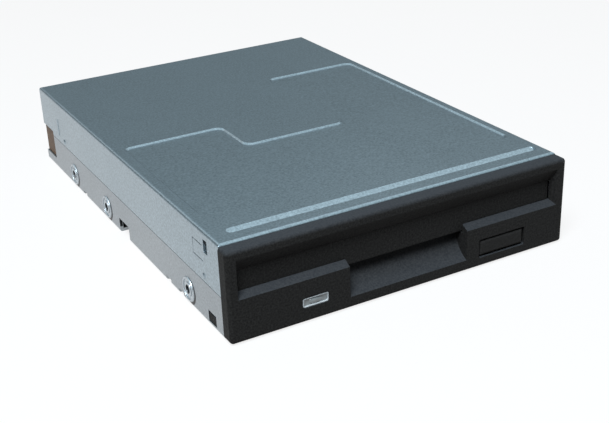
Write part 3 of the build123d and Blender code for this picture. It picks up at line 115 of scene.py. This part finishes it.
class Look(Graph):
    """A procedural material round one principled shader."""

    def __init__(self, name, **values):
        super().__init__(bpy.data.materials.new(name), "OutputMaterial")
        self.bsdf = self.node("BsdfPrincipled",
                              {key.replace("_", " "): value for key, value in values.items()})
        self.fill(self.end, self.bsdf.outputs[0])
        places = self.node("TexCoord").outputs
        self.coord, self.normal = places["Object"], places["Normal"]

    def noise(self, size, detail=2, rough=0.5, stretch=None):
        """Noise from 0 to 1, with blobs of about this size."""
        place = self.coord
        if stretch:
            place = self.node("Mapping", {"Vector": place, "Scale": stretch}).outputs[0]
        return self.node("TexNoise", {"Vector": place, "Scale": 1 / (size * MM), "Detail": detail,
                                      "Roughness": rough}).outputs["Fac"]

    def ramp(self, factor, *stops):
        """Colour ramp of two stops, each a position with a colour or a grey value."""
        ramp = self.node("ValToRGB", {0: factor})
        for element, (position, colour) in zip(ramp.color_ramp.elements, stops):
            element.position = position
            element.color = colour if isinstance(colour, tuple) else (colour, colour, colour, 1)
        return ramp.outputs[0]

    def tones(self, factor, dark, light):
        """Two colours, blended over the middle of a noise's range."""
        return self.ramp(factor, (0.3, dark), (0.7, light))

    def level(self, factor, low, high):
        """Maps 0 to 1 onto low to high."""
        return self.node("MapRange", {"Value": factor, "To Min": low, "To Max": high}).outputs[0]

    def colour(self, value):
        self.fill(self.bsdf.inputs["Base Color"], value)

    def rough(self, value):
        self.fill(self.bsdf.inputs["Roughness"], value)

    def relief(self, *layers, bevel=0.0):
        """Bump layers, each a height from 0 to 1 with its depth, over a normal with rounded edges."""
        normal = None
        if bevel:
            normal = self.node("Bevel", {"Radius": bevel * MM}, samples=6).outputs[0]
        for height, depth in layers:
            bump = self.node("Bump", {"Height": height, "Strength": 1.0, "Distance": depth * MM})
            if normal:
                self.fill(bump.inputs["Normal"], normal)
            normal = bump.outputs[0]
        self.fill(self.bsdf.inputs["Normal"], normal)
        return self


def from_holes(look, centres):
    """Distance in mm from the nearest of the side holes, each given as (y, z)."""
    flat = look.node("Mapping", {"Vector": look.coord, "Scale": (0, 1 / MM, 1 / MM)}).outputs[0]
    return look.fold("MINIMUM", [
        look.node("VectorMath", {0: flat, 1: (0, y, z)}, operation="DISTANCE").outputs["Value"]
        for y, z in centres])


def by_radius(look, distance, *stops):
    """A ramp over a distance from a hole; its stops are (radius, value)."""
    reach = 4.0
    part = look.node("MapRange", {"Value": distance, "From Max": reach}).outputs[0]
    return look.ramp(part, *((radius / reach, value) for radius, value in stops))


def cut_edge_shade_mask(look):
    """1 on the cut edges inside the side walls' openings, between the two faces of the sheet; it marks where
    shade is painted.
    """
    place = look.node("SeparateXYZ", {0: look.coord}).outputs
    facing = look.node("SeparateXYZ", {0: look.normal}).outputs
    across = look.calc("ABSOLUTE", place["X"])
    # What is compared, the middle of the range that counts and its reach to both sides
    ranges = ((across, SIDE_WALL * MM, 0.4 * MM), (place["Y"], -10.0 * MM, 70.0 * MM),
              (place["Z"], 11.6 * MM, 10.0 * MM), (facing["X"], 0.0, 0.6))
    return look.fold("MULTIPLY", [look.calc("COMPARE", *values) for values in ranges])


def painted_hole_light_and_shade(look, tone, colour, holes):
    """Painted highlight on the bosses round the side holes, painted shade in their bores, painted crescent
    shadows beside them, and painted shade on the cut edges.
    """
    away = from_holes(look, holes)
    # Painted highlight: the boss's disc turns lighter out to its rim
    painted_boss_highlight = by_radius(look, away, (3.28, 1), (3.48, 0))
    # Painted shade: the tapped hole's bore turns dark
    painted_bore_shade = by_radius(look, away, (1.16, 1), (1.32, 0))
    # The painted crescent shadow is outside the boss, and inside a circle moved to the front and down
    moved = from_holes(look, [(y - 0.55, z - 0.3) for y, z in holes])
    painted_crescent_shadow = look.mix(1.0, by_radius(look, away, (3.46, 0), (3.52, 1)),
                        by_radius(look, moved, (3.72, 1), (3.84, 0)), "MULTIPLY")
    # Lighter for the painted highlight, darker for the painted shade and shadows
    for mask, factor in ((painted_boss_highlight, 1.45), (painted_bore_shade, 0.2), (painted_crescent_shadow, 0.03), (cut_edge_shade_mask(look), 0.06)):
        tone = look.mix(mask, tone, shade(colour, factor))
    return tone


def sheet_metal(name, colour, rough, grain=0.22, streak=None, holes=()):
    """Zinc-coated sheet: fine grain, faint clouds and rolling streaks, and painted light and shade round the side
    holes if they are given.
    """
    look = Look(name, Metallic=0.95)
    fine = look.noise(0.55, detail=3, rough=0.65)
    cloud = look.noise(18)
    rolled = look.noise(0.9, rough=0.6, stretch=streak)
    tone = look.tones(fine, shade(colour, 1 - grain), shade(colour, 1 + grain))
    tone = look.mix(look.level(cloud, 0.0, 0.5), tone, shade(colour, 0.84))
    tone = look.mix(look.level(rolled, 0.0, 0.35), tone, shade(colour, 1.15))
    # Painted highlight, shade and shadow round the side holes
    if holes:
        tone = painted_hole_light_and_shade(look, tone, colour, holes)
    look.colour(tone)
    look.rough(look.level(cloud, rough - 0.02, rough + 0.03))
    return look.relief((fine, 0.005), (rolled, 0.003), bevel=0.12)


def plain_metal(name, colour, rough, streak=None):
    """Drawn, turned or plated metal with fine marks."""
    look = Look(name, Metallic=1.0)
    fine = look.noise(0.25, stretch=streak)
    look.colour(look.tones(fine, shade(colour, 0.92), shade(colour, 1.08)))
    look.rough(look.level(look.noise(3.0), rough - 0.04, rough + 0.08))
    return look.relief((fine, 0.002), bevel=0.08)


def moulded(name, colour, rough=0.5, pebble=0.5, depth=0.014, speckle=0.3, painted_top_light=0.0):
    """Moulded plastic with a spark-eroded texture, and a bluish painted light on faces that look up, as strong as
    the last argument.
    """
    look = Look(name, Specular_IOR_Level=0.04)
    pebbles = look.noise(pebble, rough=0.55)
    cloud = look.noise(9, detail=3)
    tone = look.tones(pebbles, shade(colour, 1 - speckle), shade(colour, 1 + speckle))
    tone = look.mix(look.level(cloud, 0.0, 0.5), tone, shade(colour, 0.85))
    # Painted light from above: faces that look up turn lighter and bluish
    if painted_top_light:
        up = look.node("SeparateXYZ", {0: look.normal}).outputs["Z"]
        tone = look.mix(look.level(up, 0.0, painted_top_light), tone, PAINTED_TOP_LIGHT_COLOUR)
    look.colour(tone)
    look.rough(look.level(cloud, rough - 0.05, rough + 0.08))
    return look.relief((pebbles, depth), bevel=0.15)


def laminate(name, lacquer):
    """Circuit board: lacquer over copper tracks that run both ways."""
    look = Look(name, Roughness=0.32)
    tracks = look.node("TexBrick", {"Vector": look.coord, "Scale": 1 / (6 * MM), "Mortar Size": 0.035,
                                    "Brick Width": 1.9, "Row Height": 0.31}, offset=0.37).outputs["Fac"]
    tone = look.tones(look.noise(0.8, detail=1), shade(lacquer, 0.88), shade(lacquer, 1.1))
    look.colour(look.mix(tracks, tone, shade(lacquer, 1.7)))
    return look.relief((tracks, 0.03), bevel=0.05)


def grained(name, dark, light, size, depth, bevel=0.0, detail=2, noise_rough=0.5, stretch=None, **values):
    """One noise that blends two colours and gives the relief."""
    look = Look(name, **values)
    grain = look.noise(size, detail, noise_rough, stretch)
    look.colour(look.tones(grain, linear(*dark), linear(*light)))
    return look.relief((grain, depth), bevel=bevel)


def flat_ribbon(name, dark, light, pitch):
    """Flat cable with a ridge over each conductor."""
    look = Look(name, Roughness=0.35)
    lanes = look.node("TexWave", {"Vector": look.coord, "Scale": math.pi * 0.1 / (pitch * MM)},
                      wave_type="BANDS", bands_direction="X").outputs["Fac"]
    look.colour(look.ramp(lanes, (0.35, linear(*light)), (0.6, linear(*dark))))
    return look.relief((lanes, 0.03))


ZINC_TOP = linear(152, 165, 172)
ZINC_SIDE = linear(153, 159, 163)
BLACK = linear(43, 42, 41)
# Bluish colour of the painted light on faces that look up
PAINTED_TOP_LIGHT_COLOUR = linear(96, 104, 114)

looks = {
    "chassis_steel": sheet_metal("zinc_chassis", ZINC_SIDE, rough=0.36, grain=0.32, streak=(1, 0.1, 1),
                                 holes=[(CASE_FRONT + back, HOLES_UP) for back in HOLES_BACK]),
    "cover_steel": sheet_metal("zinc_cover", ZINC_TOP, rough=0.31, grain=0.45, streak=(0.1, 1, 1)),
    "mechanism_steel": sheet_metal("zinc_mechanism", linear(170, 168, 160), rough=0.36),
    "rotor_steel": sheet_metal("zinc_rotor", linear(172, 174, 176), rough=0.3),
    "motor_steel": sheet_metal("zinc_motor", linear(165, 167, 168), rough=0.3),
    "bezel_plastic": moulded("black_bezel", BLACK, speckle=0.55, painted_top_light=0.16),
    "door_plastic": moulded("black_door", shade(BLACK, 0.9), rough=0.48, speckle=0.6),
    "button_plastic": moulded("black_button", shade(BLACK, 1.1), rough=0.46),
    "carriage_plastic": moulded("filled_plastic", linear(40, 40, 42), rough=0.45),
    "hub_plastic": moulded("hub_plastic", linear(30, 30, 32), rough=0.4),
    "connector_plastic": moulded("connector_black", linear(28, 28, 30), rough=0.42, pebble=0.2),
    "connector_white": moulded("connector_cream", linear(222, 218, 205), rough=0.45, speckle=0.05),
    "white_plastic": moulded("plastic_white", linear(226, 224, 216), rough=0.4, speckle=0.05),
    "plunger_plastic": moulded("plunger_cream", linear(230, 228, 214), rough=0.35, speckle=0.04),
    "switch_plastic": moulded("switch_slate", linear(45, 48, 58), rough=0.42),
    "chip_plastic": moulded("chip_epoxy", linear(34, 34, 35), rough=0.55, pebble=0.12, depth=0.006),
    "magnet_ferrite": moulded("bonded_ferrite", linear(52, 50, 48), rough=0.6, pebble=0.2),
    "head_ceramic": moulded("head_ceramic", linear(205, 198, 182), rough=0.2, depth=0.002, speckle=0.05),
    "spring_steel": plain_metal("spring_wire", linear(150, 150, 152), rough=0.3),
    "bright_steel": plain_metal("ground_steel", linear(200, 200, 202), rough=0.16, streak=(1, 1, 0.1)),
    "screw_steel": plain_metal("screw_zinc", linear(175, 172, 160), rough=0.28),
    "core_steel": plain_metal("laminated_core", linear(120, 120, 124), rough=0.4, streak=(0.1, 0.1, 1)),
    "bearing_brass": plain_metal("sintered_bronze", linear(176, 140, 84), rough=0.35),
    "contact_brass": plain_metal("plated_contact", linear(206, 182, 120), rough=0.22),
    "capacitor_metal": plain_metal("capacitor_can", linear(190, 192, 196), rough=0.25),
    "resonator_metal": plain_metal("resonator_can", linear(188, 188, 188), rough=0.22),
    "board_laminate": laminate("board_green", linear(38, 92, 58)),
    "coil_copper": grained("enamelled_wire", (120, 58, 28), (196, 110, 58), size=0.22, depth=0.05,
                           detail=1, noise_rough=0.4, stretch=(1, 1, 4), Metallic=0.9, Roughness=0.28),
    "terminal_amber": grained("amber_laminate", (88, 60, 34), (112, 80, 48), size=0.9, depth=0.01,
                              bevel=0.08, detail=3, Roughness=0.45, Specular_IOR_Level=0.2),
    "ribbon_plastic": flat_ribbon("flat_ribbon", (176, 178, 178), (214, 214, 208), pitch=1.0),
    "lens_plastic": grained("lamp_window", (168, 172, 174), (190, 194, 196), size=0.5, depth=0.01,
                            bevel=0.15, Roughness=0.4, Coat_Weight=0.15, Coat_Roughness=0.15),
    "lamp_resin": grained("lamp_resin", (126, 160, 120), (150, 182, 140), size=0.8, depth=0.004,
                          bevel=0.1, Roughness=0.12),
}

# Looks of new pieces only
window_look = grained("lamp_window_sunk", (104, 110, 112), (124, 130, 130), size=1.6, depth=0.01,
                      Roughness=0.12, Coat_Weight=1.0, Coat_Roughness=0.08)
solder = grained("solder", (168, 170, 172), (206, 207, 206), size=0.6, depth=0.02, Metallic=1.0)
solder.rough(solder.level(solder.noise(0.6), 0.18, 0.34))

slot_of = {s["node"]: s["material_slot"] for s in frame["record"]["subparts"]}
for name, obj in frame["nodes"].items():
    obj.data.materials.clear()
    obj.data.materials.append(looks[slot_of[name]].owner)


def piece(name, bm, slot, look=None):
    """A new mesh piece, drawn in mm, that rides on the case."""
    bmesh.ops.recalc_face_normals(bm, faces=bm.faces)
    bmesh.ops.scale(bm, vec=(MM, MM, MM), verts=bm.verts)
    mesh = bpy.data.meshes.new(name)
    bm.to_mesh(mesh)
    bm.free()
    mesh.materials.append((look or looks[slot]).owner)
    obj = placed(name, mesh)
    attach(obj, "case")
    return obj


def skin(bm, rings, closed=False, smooth=False):
    """Faces between rings of vertices, and from the last ring to the first if closed."""
    for a, b in zip(rings, rings[1:] + rings[:1] if closed else rings[1:]):
        for i in range(len(a)):
            j = (i + 1) % len(a)
            bm.faces.new((a[i], a[j], b[j], b[i])).smooth = smooth


def loft(bm, rings):
    """A solid through rings of vertices."""
    bm.faces.new(rings[0])
    bm.faces.new(rings[-1])
    skin(bm, rings)


def chamfered(bm, x, y, z, cut):
    """A block with cut corners, as small moulded parts have."""
    rings = []
    for height, inset in ((z[0], cut), (z[0] + cut, 0), (z[1] - cut, 0), (z[1], cut)):
        x0, x1, y0, y1 = x[0] + inset, x[1] - inset, y[0] + inset, y[1] - inset
        corners = ((x0 + cut, y0), (x1 - cut, y0), (x1, y0 + cut), (x1, y1 - cut),
                   (x1 - cut, y1), (x0 + cut, y1), (x0, y1 - cut), (x0, y0 + cut))
        rings.append([bm.verts.new((px, py, height)) for px, py in corners])
    loft(bm, rings)


# Threads in the tapped holes; the ridge's section is out from the tap radius and along the hole
TAP_RADIUS, PITCH, STEPS_PER_TURN = 1.25, 0.5, 18
RIDGE = ((0.04, -0.2), (-0.16, -0.04), (-0.16, 0.04), (0.04, 0.2))
SIDE_THREAD_X, SIDE_THREAD_LENGTH = 50.4, 2.4
FLOOR_THREAD_X, FLOOR_THREAD_Z, FLOOR_THREAD_LENGTH = 47.6, 0.4, 1.8


def thread(name, start, axis, length):
    """Helical ridge inside a tapped hole."""
    bm = bmesh.new()
    axis = Vector(axis)
    side = axis.orthogonal().normalized()
    up = axis.cross(side)
    rings = []
    for i in range(int(STEPS_PER_TURN * length / PITCH) + 1):
        angle = math.tau * i / STEPS_PER_TURN
        out = side * math.cos(angle) + up * math.sin(angle)
        middle = Vector(start) + axis * (i * PITCH / STEPS_PER_TURN)
        rings.append([bm.verts.new(middle + out * (TAP_RADIUS + r) + axis * d) for r, d in RIDGE])
    loft(bm, rings)
    piece(name, bm, "chassis_steel")


for side, sign in (("left", -1), ("right", 1)):
    for number, back in enumerate(HOLES_BACK, 1):
        thread(f"side_thread_{side}_{number}", (sign * SIDE_THREAD_X, CASE_FRONT + back, HOLES_UP),
               (-sign, 0, 0), SIDE_THREAD_LENGTH)
    for number, back in enumerate(HOLES_BACK[:2], 1):
        thread(f"floor_thread_{side}_{number}", (sign * FLOOR_THREAD_X, CASE_FRONT + back, FLOOR_THREAD_Z),
               (0, 0, 1), FLOOR_THREAD_LENGTH)

# Chips under the main board: x span, span behind the bezel's face, the leads' pitch and half width,
# and the directions that their rows run in (0 is X, 1 is Y)
CHIPS = (
    ((6, 20), (104, 118), 0.8, 0.17, (0, 1)),
    ((-6, 2), (108, 113), 1.27, 0.21, (0,)),
    ((26, 38), (104, 109), 1.27, 0.21, (0,)),
)
# A lead's section: out from the chip's side, and height
LEAD = ((0, 1.8), (0.55, 1.8), (0.75, 2.22), (1.35, 2.22), (1.35, 2.38), (0.62, 2.38), (0.42, 1.96), (0, 1.96))
LEAD_SUNK = 0.05       # how far the leads start inside the chip
ROW_MARGIN = 1.2       # length of a chip's side that stays free of leads

bm = bmesh.new()
for xs, ys, pitch, half_width, rows in CHIPS:
    middle = ((xs[0] + xs[1]) / 2, CASE_FRONT + (ys[0] + ys[1]) / 2)
    half = ((xs[1] - xs[0]) / 2, (ys[1] - ys[0]) / 2)
    for along in rows:
        across = 1 - along
        count = int((2 * half[along] - ROW_MARGIN) / pitch)
        for sign in (-1, 1):
            for i in range(count):
                at = middle[along] + (i - (count - 1) / 2) * pitch
                rings = []
                for shift in (-half_width, half_width):
                    rings.append([])
                    for out, height in LEAD:
                        point = [0, 0, height]
                        point[along] = at + shift
                        point[across] = middle[across] + sign * (half[across] - LEAD_SUNK + out)
                        rings[-1].append(bm.verts.new(point))
                loft(bm, rings)
piece("chip_leads", bm, "resonator_metal", solder)

# Solder joints, as x and the distance behind the bezel's face: ribbon socket, capacitors and resonator,
# then motor coils and sensors round the spindle
SPINDLE_BACK = 52
joints = [(20.9 + 1.15 * i, 101.8) for i in range(8)]
joints += [(32.4, 107.5), (34.4, 107.5), (35.6, 121.6), (38.6, 121.6), (38.4, 114.0), (38.4, 107.5),
           (2.5, 121.0), (5.0, 121.0), (-7.5, 117.5)]
for radius, angles in ((20.5, (0.5, 0.72, 0.94, 2.3, 2.52, 3.9)), (12.5, (1.2, 1.5, 3.3, 5.1, 5.4))):
    joints += [(radius * math.cos(a), SPINDLE_BACK + radius * math.sin(a)) for a in angles]
# A joint's outline: radius, and drop below the board
JOINT = ((0.75, 0.0), (0.62, 0.16), (0.4, 0.34), (0.24, 0.62), (0.2, 0.8))
JOINT_SIDES = 12

bm = bmesh.new()
for x, back in joints:
    loft(bm, [[bm.verts.new((x + radius * math.cos(math.tau * i / JOINT_SIDES),
                             CASE_FRONT + back + radius * math.sin(math.tau * i / JOINT_SIDES),
                             BOARD_UNDER - drop)) for i in range(JOINT_SIDES)] for radius, drop in JOINT])
piece("solder_joints", bm, "resonator_metal", solder)

# Small chip parts: x, distance behind the bezel's face, and 1 if turned a quarter
SMALL_PARTS = (
    (-7.5, 104.5, 0), (-4.5, 104.5, 0), (-1.5, 104.5, 0), (22.8, 105.5, 1), (22.8, 109.0, 1), (22.8, 113.5, 1),
    (25.5, 112.5, 0), (28.5, 112.5, 0), (31.5, 112.5, 0), (29.0, 116.5, 0), (33.0, 118.0, 1), (25.0, 119.5, 0),
    (12.0, 121.2, 0), (15.0, 121.2, 0), (-2.0, 116.0, 1), (3.6, 105.0, 1),
    (-8.0, 68.0, 0), (-4.5, 68.0, 0), (9.0, 67.0, 1), (-17.0, 56.0, 1), (15.5, 41.0, 0), (-14.0, 40.5, 0),
    (18.5, 57.0, 1),
)
SMALL_HALF_WIDTH, SMALL_CUT = 0.4, 0.05

bodies, ends = bmesh.new(), bmesh.new()
# The blocks of one small part: where it goes, its span along the part, and drop below the board
blocks = ((bodies, (-0.5, 0.5), 0.5), (ends, (-0.8, -0.48), 0.53), (ends, (0.48, 0.8), 0.53))
for x, back, turned in SMALL_PARTS:
    for bm, along, drop in blocks:
        across = (-SMALL_HALF_WIDTH, SMALL_HALF_WIDTH)
        xs, ys = (across, along) if turned else (along, across)
        chamfered(bm, [x + dx for dx in xs], [CASE_FRONT + back + dy for dy in ys],
                  (BOARD_UNDER - drop, BOARD_UNDER), SMALL_CUT)
piece("small_part_bodies", bodies, "chip_plastic")
piece("small_part_ends", ends, "resonator_metal", solder)

# Lens of the lamp: raised frame round a sunk window with an oval dome. Middle and half sizes are (x, z)
LENS_MID, LENS_HALF, LENS_ROUND = (-27.35, 5.7), (3.67, 1.32), 0.52
LENS_FACE, LENS_BACK = -72.95, -70.7
WINDOW_Y, WINDOW_INSET = LENS_FACE + 0.34, 0.41
DOME_HALF, DOME_HIGH = (1.9, 0.8), 0.33
CORNER_STEPS, SIDE_STEP = 6, 0.3
# The frame's section: inset from its outline, and place along Y
FRAME = ((0, LENS_BACK), (0, LENS_FACE + 0.14), (0.05, LENS_FACE + 0.04), (0.12, LENS_FACE),
         (0.3, LENS_FACE), (0.36, LENS_FACE + 0.05), (0.4, LENS_FACE + 0.4), (0.4, LENS_BACK))
# The flange behind the bezel: its spans along X, Y and Z, and its cut corners
FLANGE = ((-31.9, -22.8), (-70.68, -69.8), (3.5, 7.9), 0.1)


def lens_outline():
    """Rounded rectangle as (x, z) from the lens's middle, with extra points along its sides."""
    points = []
    for corner, (sx, sz) in enumerate(((1, 1), (-1, 1), (-1, -1), (1, -1))):
        for i in range(CORNER_STEPS + 1):
            a = math.pi / 2 * (corner + i / CORNER_STEPS)
            points.append((sx * (LENS_HALF[0] - LENS_ROUND) + LENS_ROUND * math.cos(a),
                           sz * (LENS_HALF[1] - LENS_ROUND) + LENS_ROUND * math.sin(a)))
    dense = []
    for a, b in zip(points, points[1:] + points[:1]):
        count = max(1, round(math.dist(a, b) / SIDE_STEP))
        dense += [(a[0] + (b[0] - a[0]) * i / count, a[1] + (b[1] - a[1]) * i / count) for i in range(count)]
    return dense


OUTLINE = lens_outline()


def lens_ring(bm, inset, y):
    """A ring of vertices at an inset from the outline."""
    return [bm.verts.new((LENS_MID[0] + x * (1 - inset / LENS_HALF[0]), y,
                          LENS_MID[1] + z * (1 - inset / LENS_HALF[1]))) for x, z in OUTLINE]


def dome_ring(bm, size, y):
    """An oval ring of vertices in step with the outline."""
    angles = [math.atan2(z / LENS_HALF[1], x / LENS_HALF[0]) for x, z in OUTLINE]
    return [bm.verts.new((LENS_MID[0] + DOME_HALF[0] * size * math.cos(a), y,
                          LENS_MID[1] + DOME_HALF[1] * size * math.sin(a))) for a in angles]


bm = bmesh.new()
skin(bm, [lens_ring(bm, inset, y) for inset, y in FRAME], closed=True)
chamfered(bm, *FLANGE)
lens_frame = piece("lens_frame", bm, "lens_plastic")
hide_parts("lamp_lens")

bm = bmesh.new()
pane = [lens_ring(bm, WINDOW_INSET, LENS_BACK), lens_ring(bm, WINDOW_INSET, WINDOW_Y), dome_ring(bm, 1, WINDOW_Y)]
skin(bm, pane)
dome = pane[-1:] + [dome_ring(bm, math.cos(math.radians(a)), WINDOW_Y - DOME_HIGH * math.sin(math.radians(a)))
                    for a in range(10, 90, 10)]
skin(bm, dome, smooth=True)
bm.faces.new(pane[0])
bm.faces.new(dome[-1]).smooth = True
piece("lens_window", bm, "lens_plastic", window_look)

# Camera, fitted to the photograph: focal length and principal point are in pixels of its frame
FOCAL_PX, CENTRE_PX = 1084.28, (292.47, 213.2)
WIDTH_PX, HEIGHT_PX = 609, 423
EYE = Vector((-139.23, CASE_FRONT - 202.37, 137.77)) * MM
RIGHT = Vector((0.8752, -0.482, -0.0411))
UP = Vector((0.2374, 0.354, 0.9046))
AHEAD = Vector((0.4215, 0.8015, -0.4242))
camera = placed("camera", bpy.data.cameras.new("camera"))
camera.data.lens = camera.data.sensor_width * FOCAL_PX / WIDTH_PX
camera.data.shift_x = (WIDTH_PX / 2 - CENTRE_PX[0]) / WIDTH_PX
camera.data.shift_y = (CENTRE_PX[1] - HEIGHT_PX / 2) / WIDTH_PX
camera.data.clip_start, camera.data.clip_end = 0.01, 20   # metres
turn = Matrix((RIGHT, UP, -AHEAD)).transposed().to_quaternion().to_matrix()
camera.matrix_world = Matrix.Translation(EYE) @ turn.to_4x4()
bpy.context.scene.camera = camera

# Floor, in metres
FLOOR_HALF, FLOOR_DROP = 3.0, 0.00005
floor_mesh = bpy.data.meshes.new("floor")
bm = bmesh.new()
bmesh.ops.create_grid(bm, x_segments=1, y_segments=1, size=FLOOR_HALF)
bm.to_mesh(floor_mesh)
bm.free()
floor = placed("floor", floor_mesh)
floor.location.z = -FLOOR_DROP
ground = Graph(bpy.data.materials.new("pale_floor"), "OutputMaterial")
diffuse = ground.node("BsdfDiffuse", {"Color": (0.13, 0.13, 0.13, 1)}).outputs[0]
# The glow grows away from the object, so that the floor ends in white
away = ground.node("VectorMath", {0: ground.node("TexCoord").outputs["Object"]}, operation="LENGTH")
fade = ground.node("MapRange", {"Value": away.outputs["Value"], "From Min": 0.3, "From Max": 1.2,
                                "To Min": 0.83, "To Max": 1.0})
glow = ground.node("Emission", {"Color": (1, 1, 1, 1), "Strength": fade.outputs[0]}).outputs[0]
both = ground.node("AddShader", {0: diffuse, 1: glow}).outputs[0]
top = ground.node("MixShader", {0: ground.shown_ray(), 1: diffuse, 2: both}).outputs[0]
# Seen from below, the floor lets the underside show
under = ground.node("BsdfTransparent").outputs[0]
below = ground.node("NewGeometry").outputs["Backfacing"]
ground.fill(ground.end, ground.node("MixShader", {0: below, 1: top, 2: under}).outputs[0])
floor_mesh.materials.append(ground.owner)

# World: a soft grey that lights the object, and a sky from pale grey to white that shows in it
SKY = ((0, 0.4), (0.3, 0.235), (0.48, 0.26), (0.61, 1.0), (1, 1.0))   # direction's height and strength
bpy.context.scene.world = bpy.data.worlds.new("studio")
world = Graph(bpy.context.scene.world, "OutputWorld")
soft = world.node("Background", {"Color": (0.8, 0.82, 0.85, 1), "Strength": 0.08}).outputs[0]
height = world.node("SeparateXYZ", {0: world.node("TexCoord").outputs["Generated"]}).outputs["Z"]
sky = world.node("FloatCurve", {"Value": height})
points = sky.mapping.curves[0].points
for x, y in SKY[1:-1]:
    points.new(x, y)
points[0].location, points[-1].location = SKY[0], SKY[-1]
sky.mapping.update()
# The camera sees plain white; in the zinc's mirror image the sky is bluish. Inputs 2 and 3 are the
# Mix node's two numbers
seen = world.node("LightPath").outputs["Is Camera Ray"]
strength = world.node("Mix", {0: seen, 2: sky.outputs[0], 3: 1.0}).outputs[0]
tint = world.mix(seen, (0.77, 0.93, 1, 1), (1, 1, 1, 1))
white = world.node("Background", {"Color": tint, "Strength": strength}).outputs[0]
world.fill(world.end, world.node("MixShader", {0: world.shown_ray(), 1: soft, 2: white}).outputs[0])


def lamp(name, place, aim, size, power, colour=(1, 1, 1)):
    """Area lamp; its place, aim and size are in metres and its power in watts."""
    data = bpy.data.lights.new(name, "AREA")
    data.shape = "RECTANGLE"
    data.size, data.size_y = size
    data.energy = power
    data.color = colour
    obj = placed(name, data)
    obj.location = place
    obj.rotation_mode = "QUATERNION"
    obj.rotation_quaternion = (Vector(aim) - Vector(place)).to_track_quat("-Z", "Y")


MIDDLE = (0, 0, 0.01)
lamp("top_lamp", (-0.32, -0.4, 0.8), (0, -0.03, 0.01), (0.4, 0.4), 13.0, (0.84, 0.93, 1.0))
lamp("rear_lamp", (-0.33, 0.8, 0.52), MIDDLE, (0.4, 0.4), 0.35)
lamp("right_lamp", (0.42, 0.34, 0.62), MIDDLE, (0.5, 0.5), 0.22, (0.92, 0.97, 1.0))
lamp("left_lamp", (-0.75, -0.1, 0.24), MIDDLE, (0.6, 0.4), 0.1)

bpy.context.scene.view_settings.view_transform = "Standard"
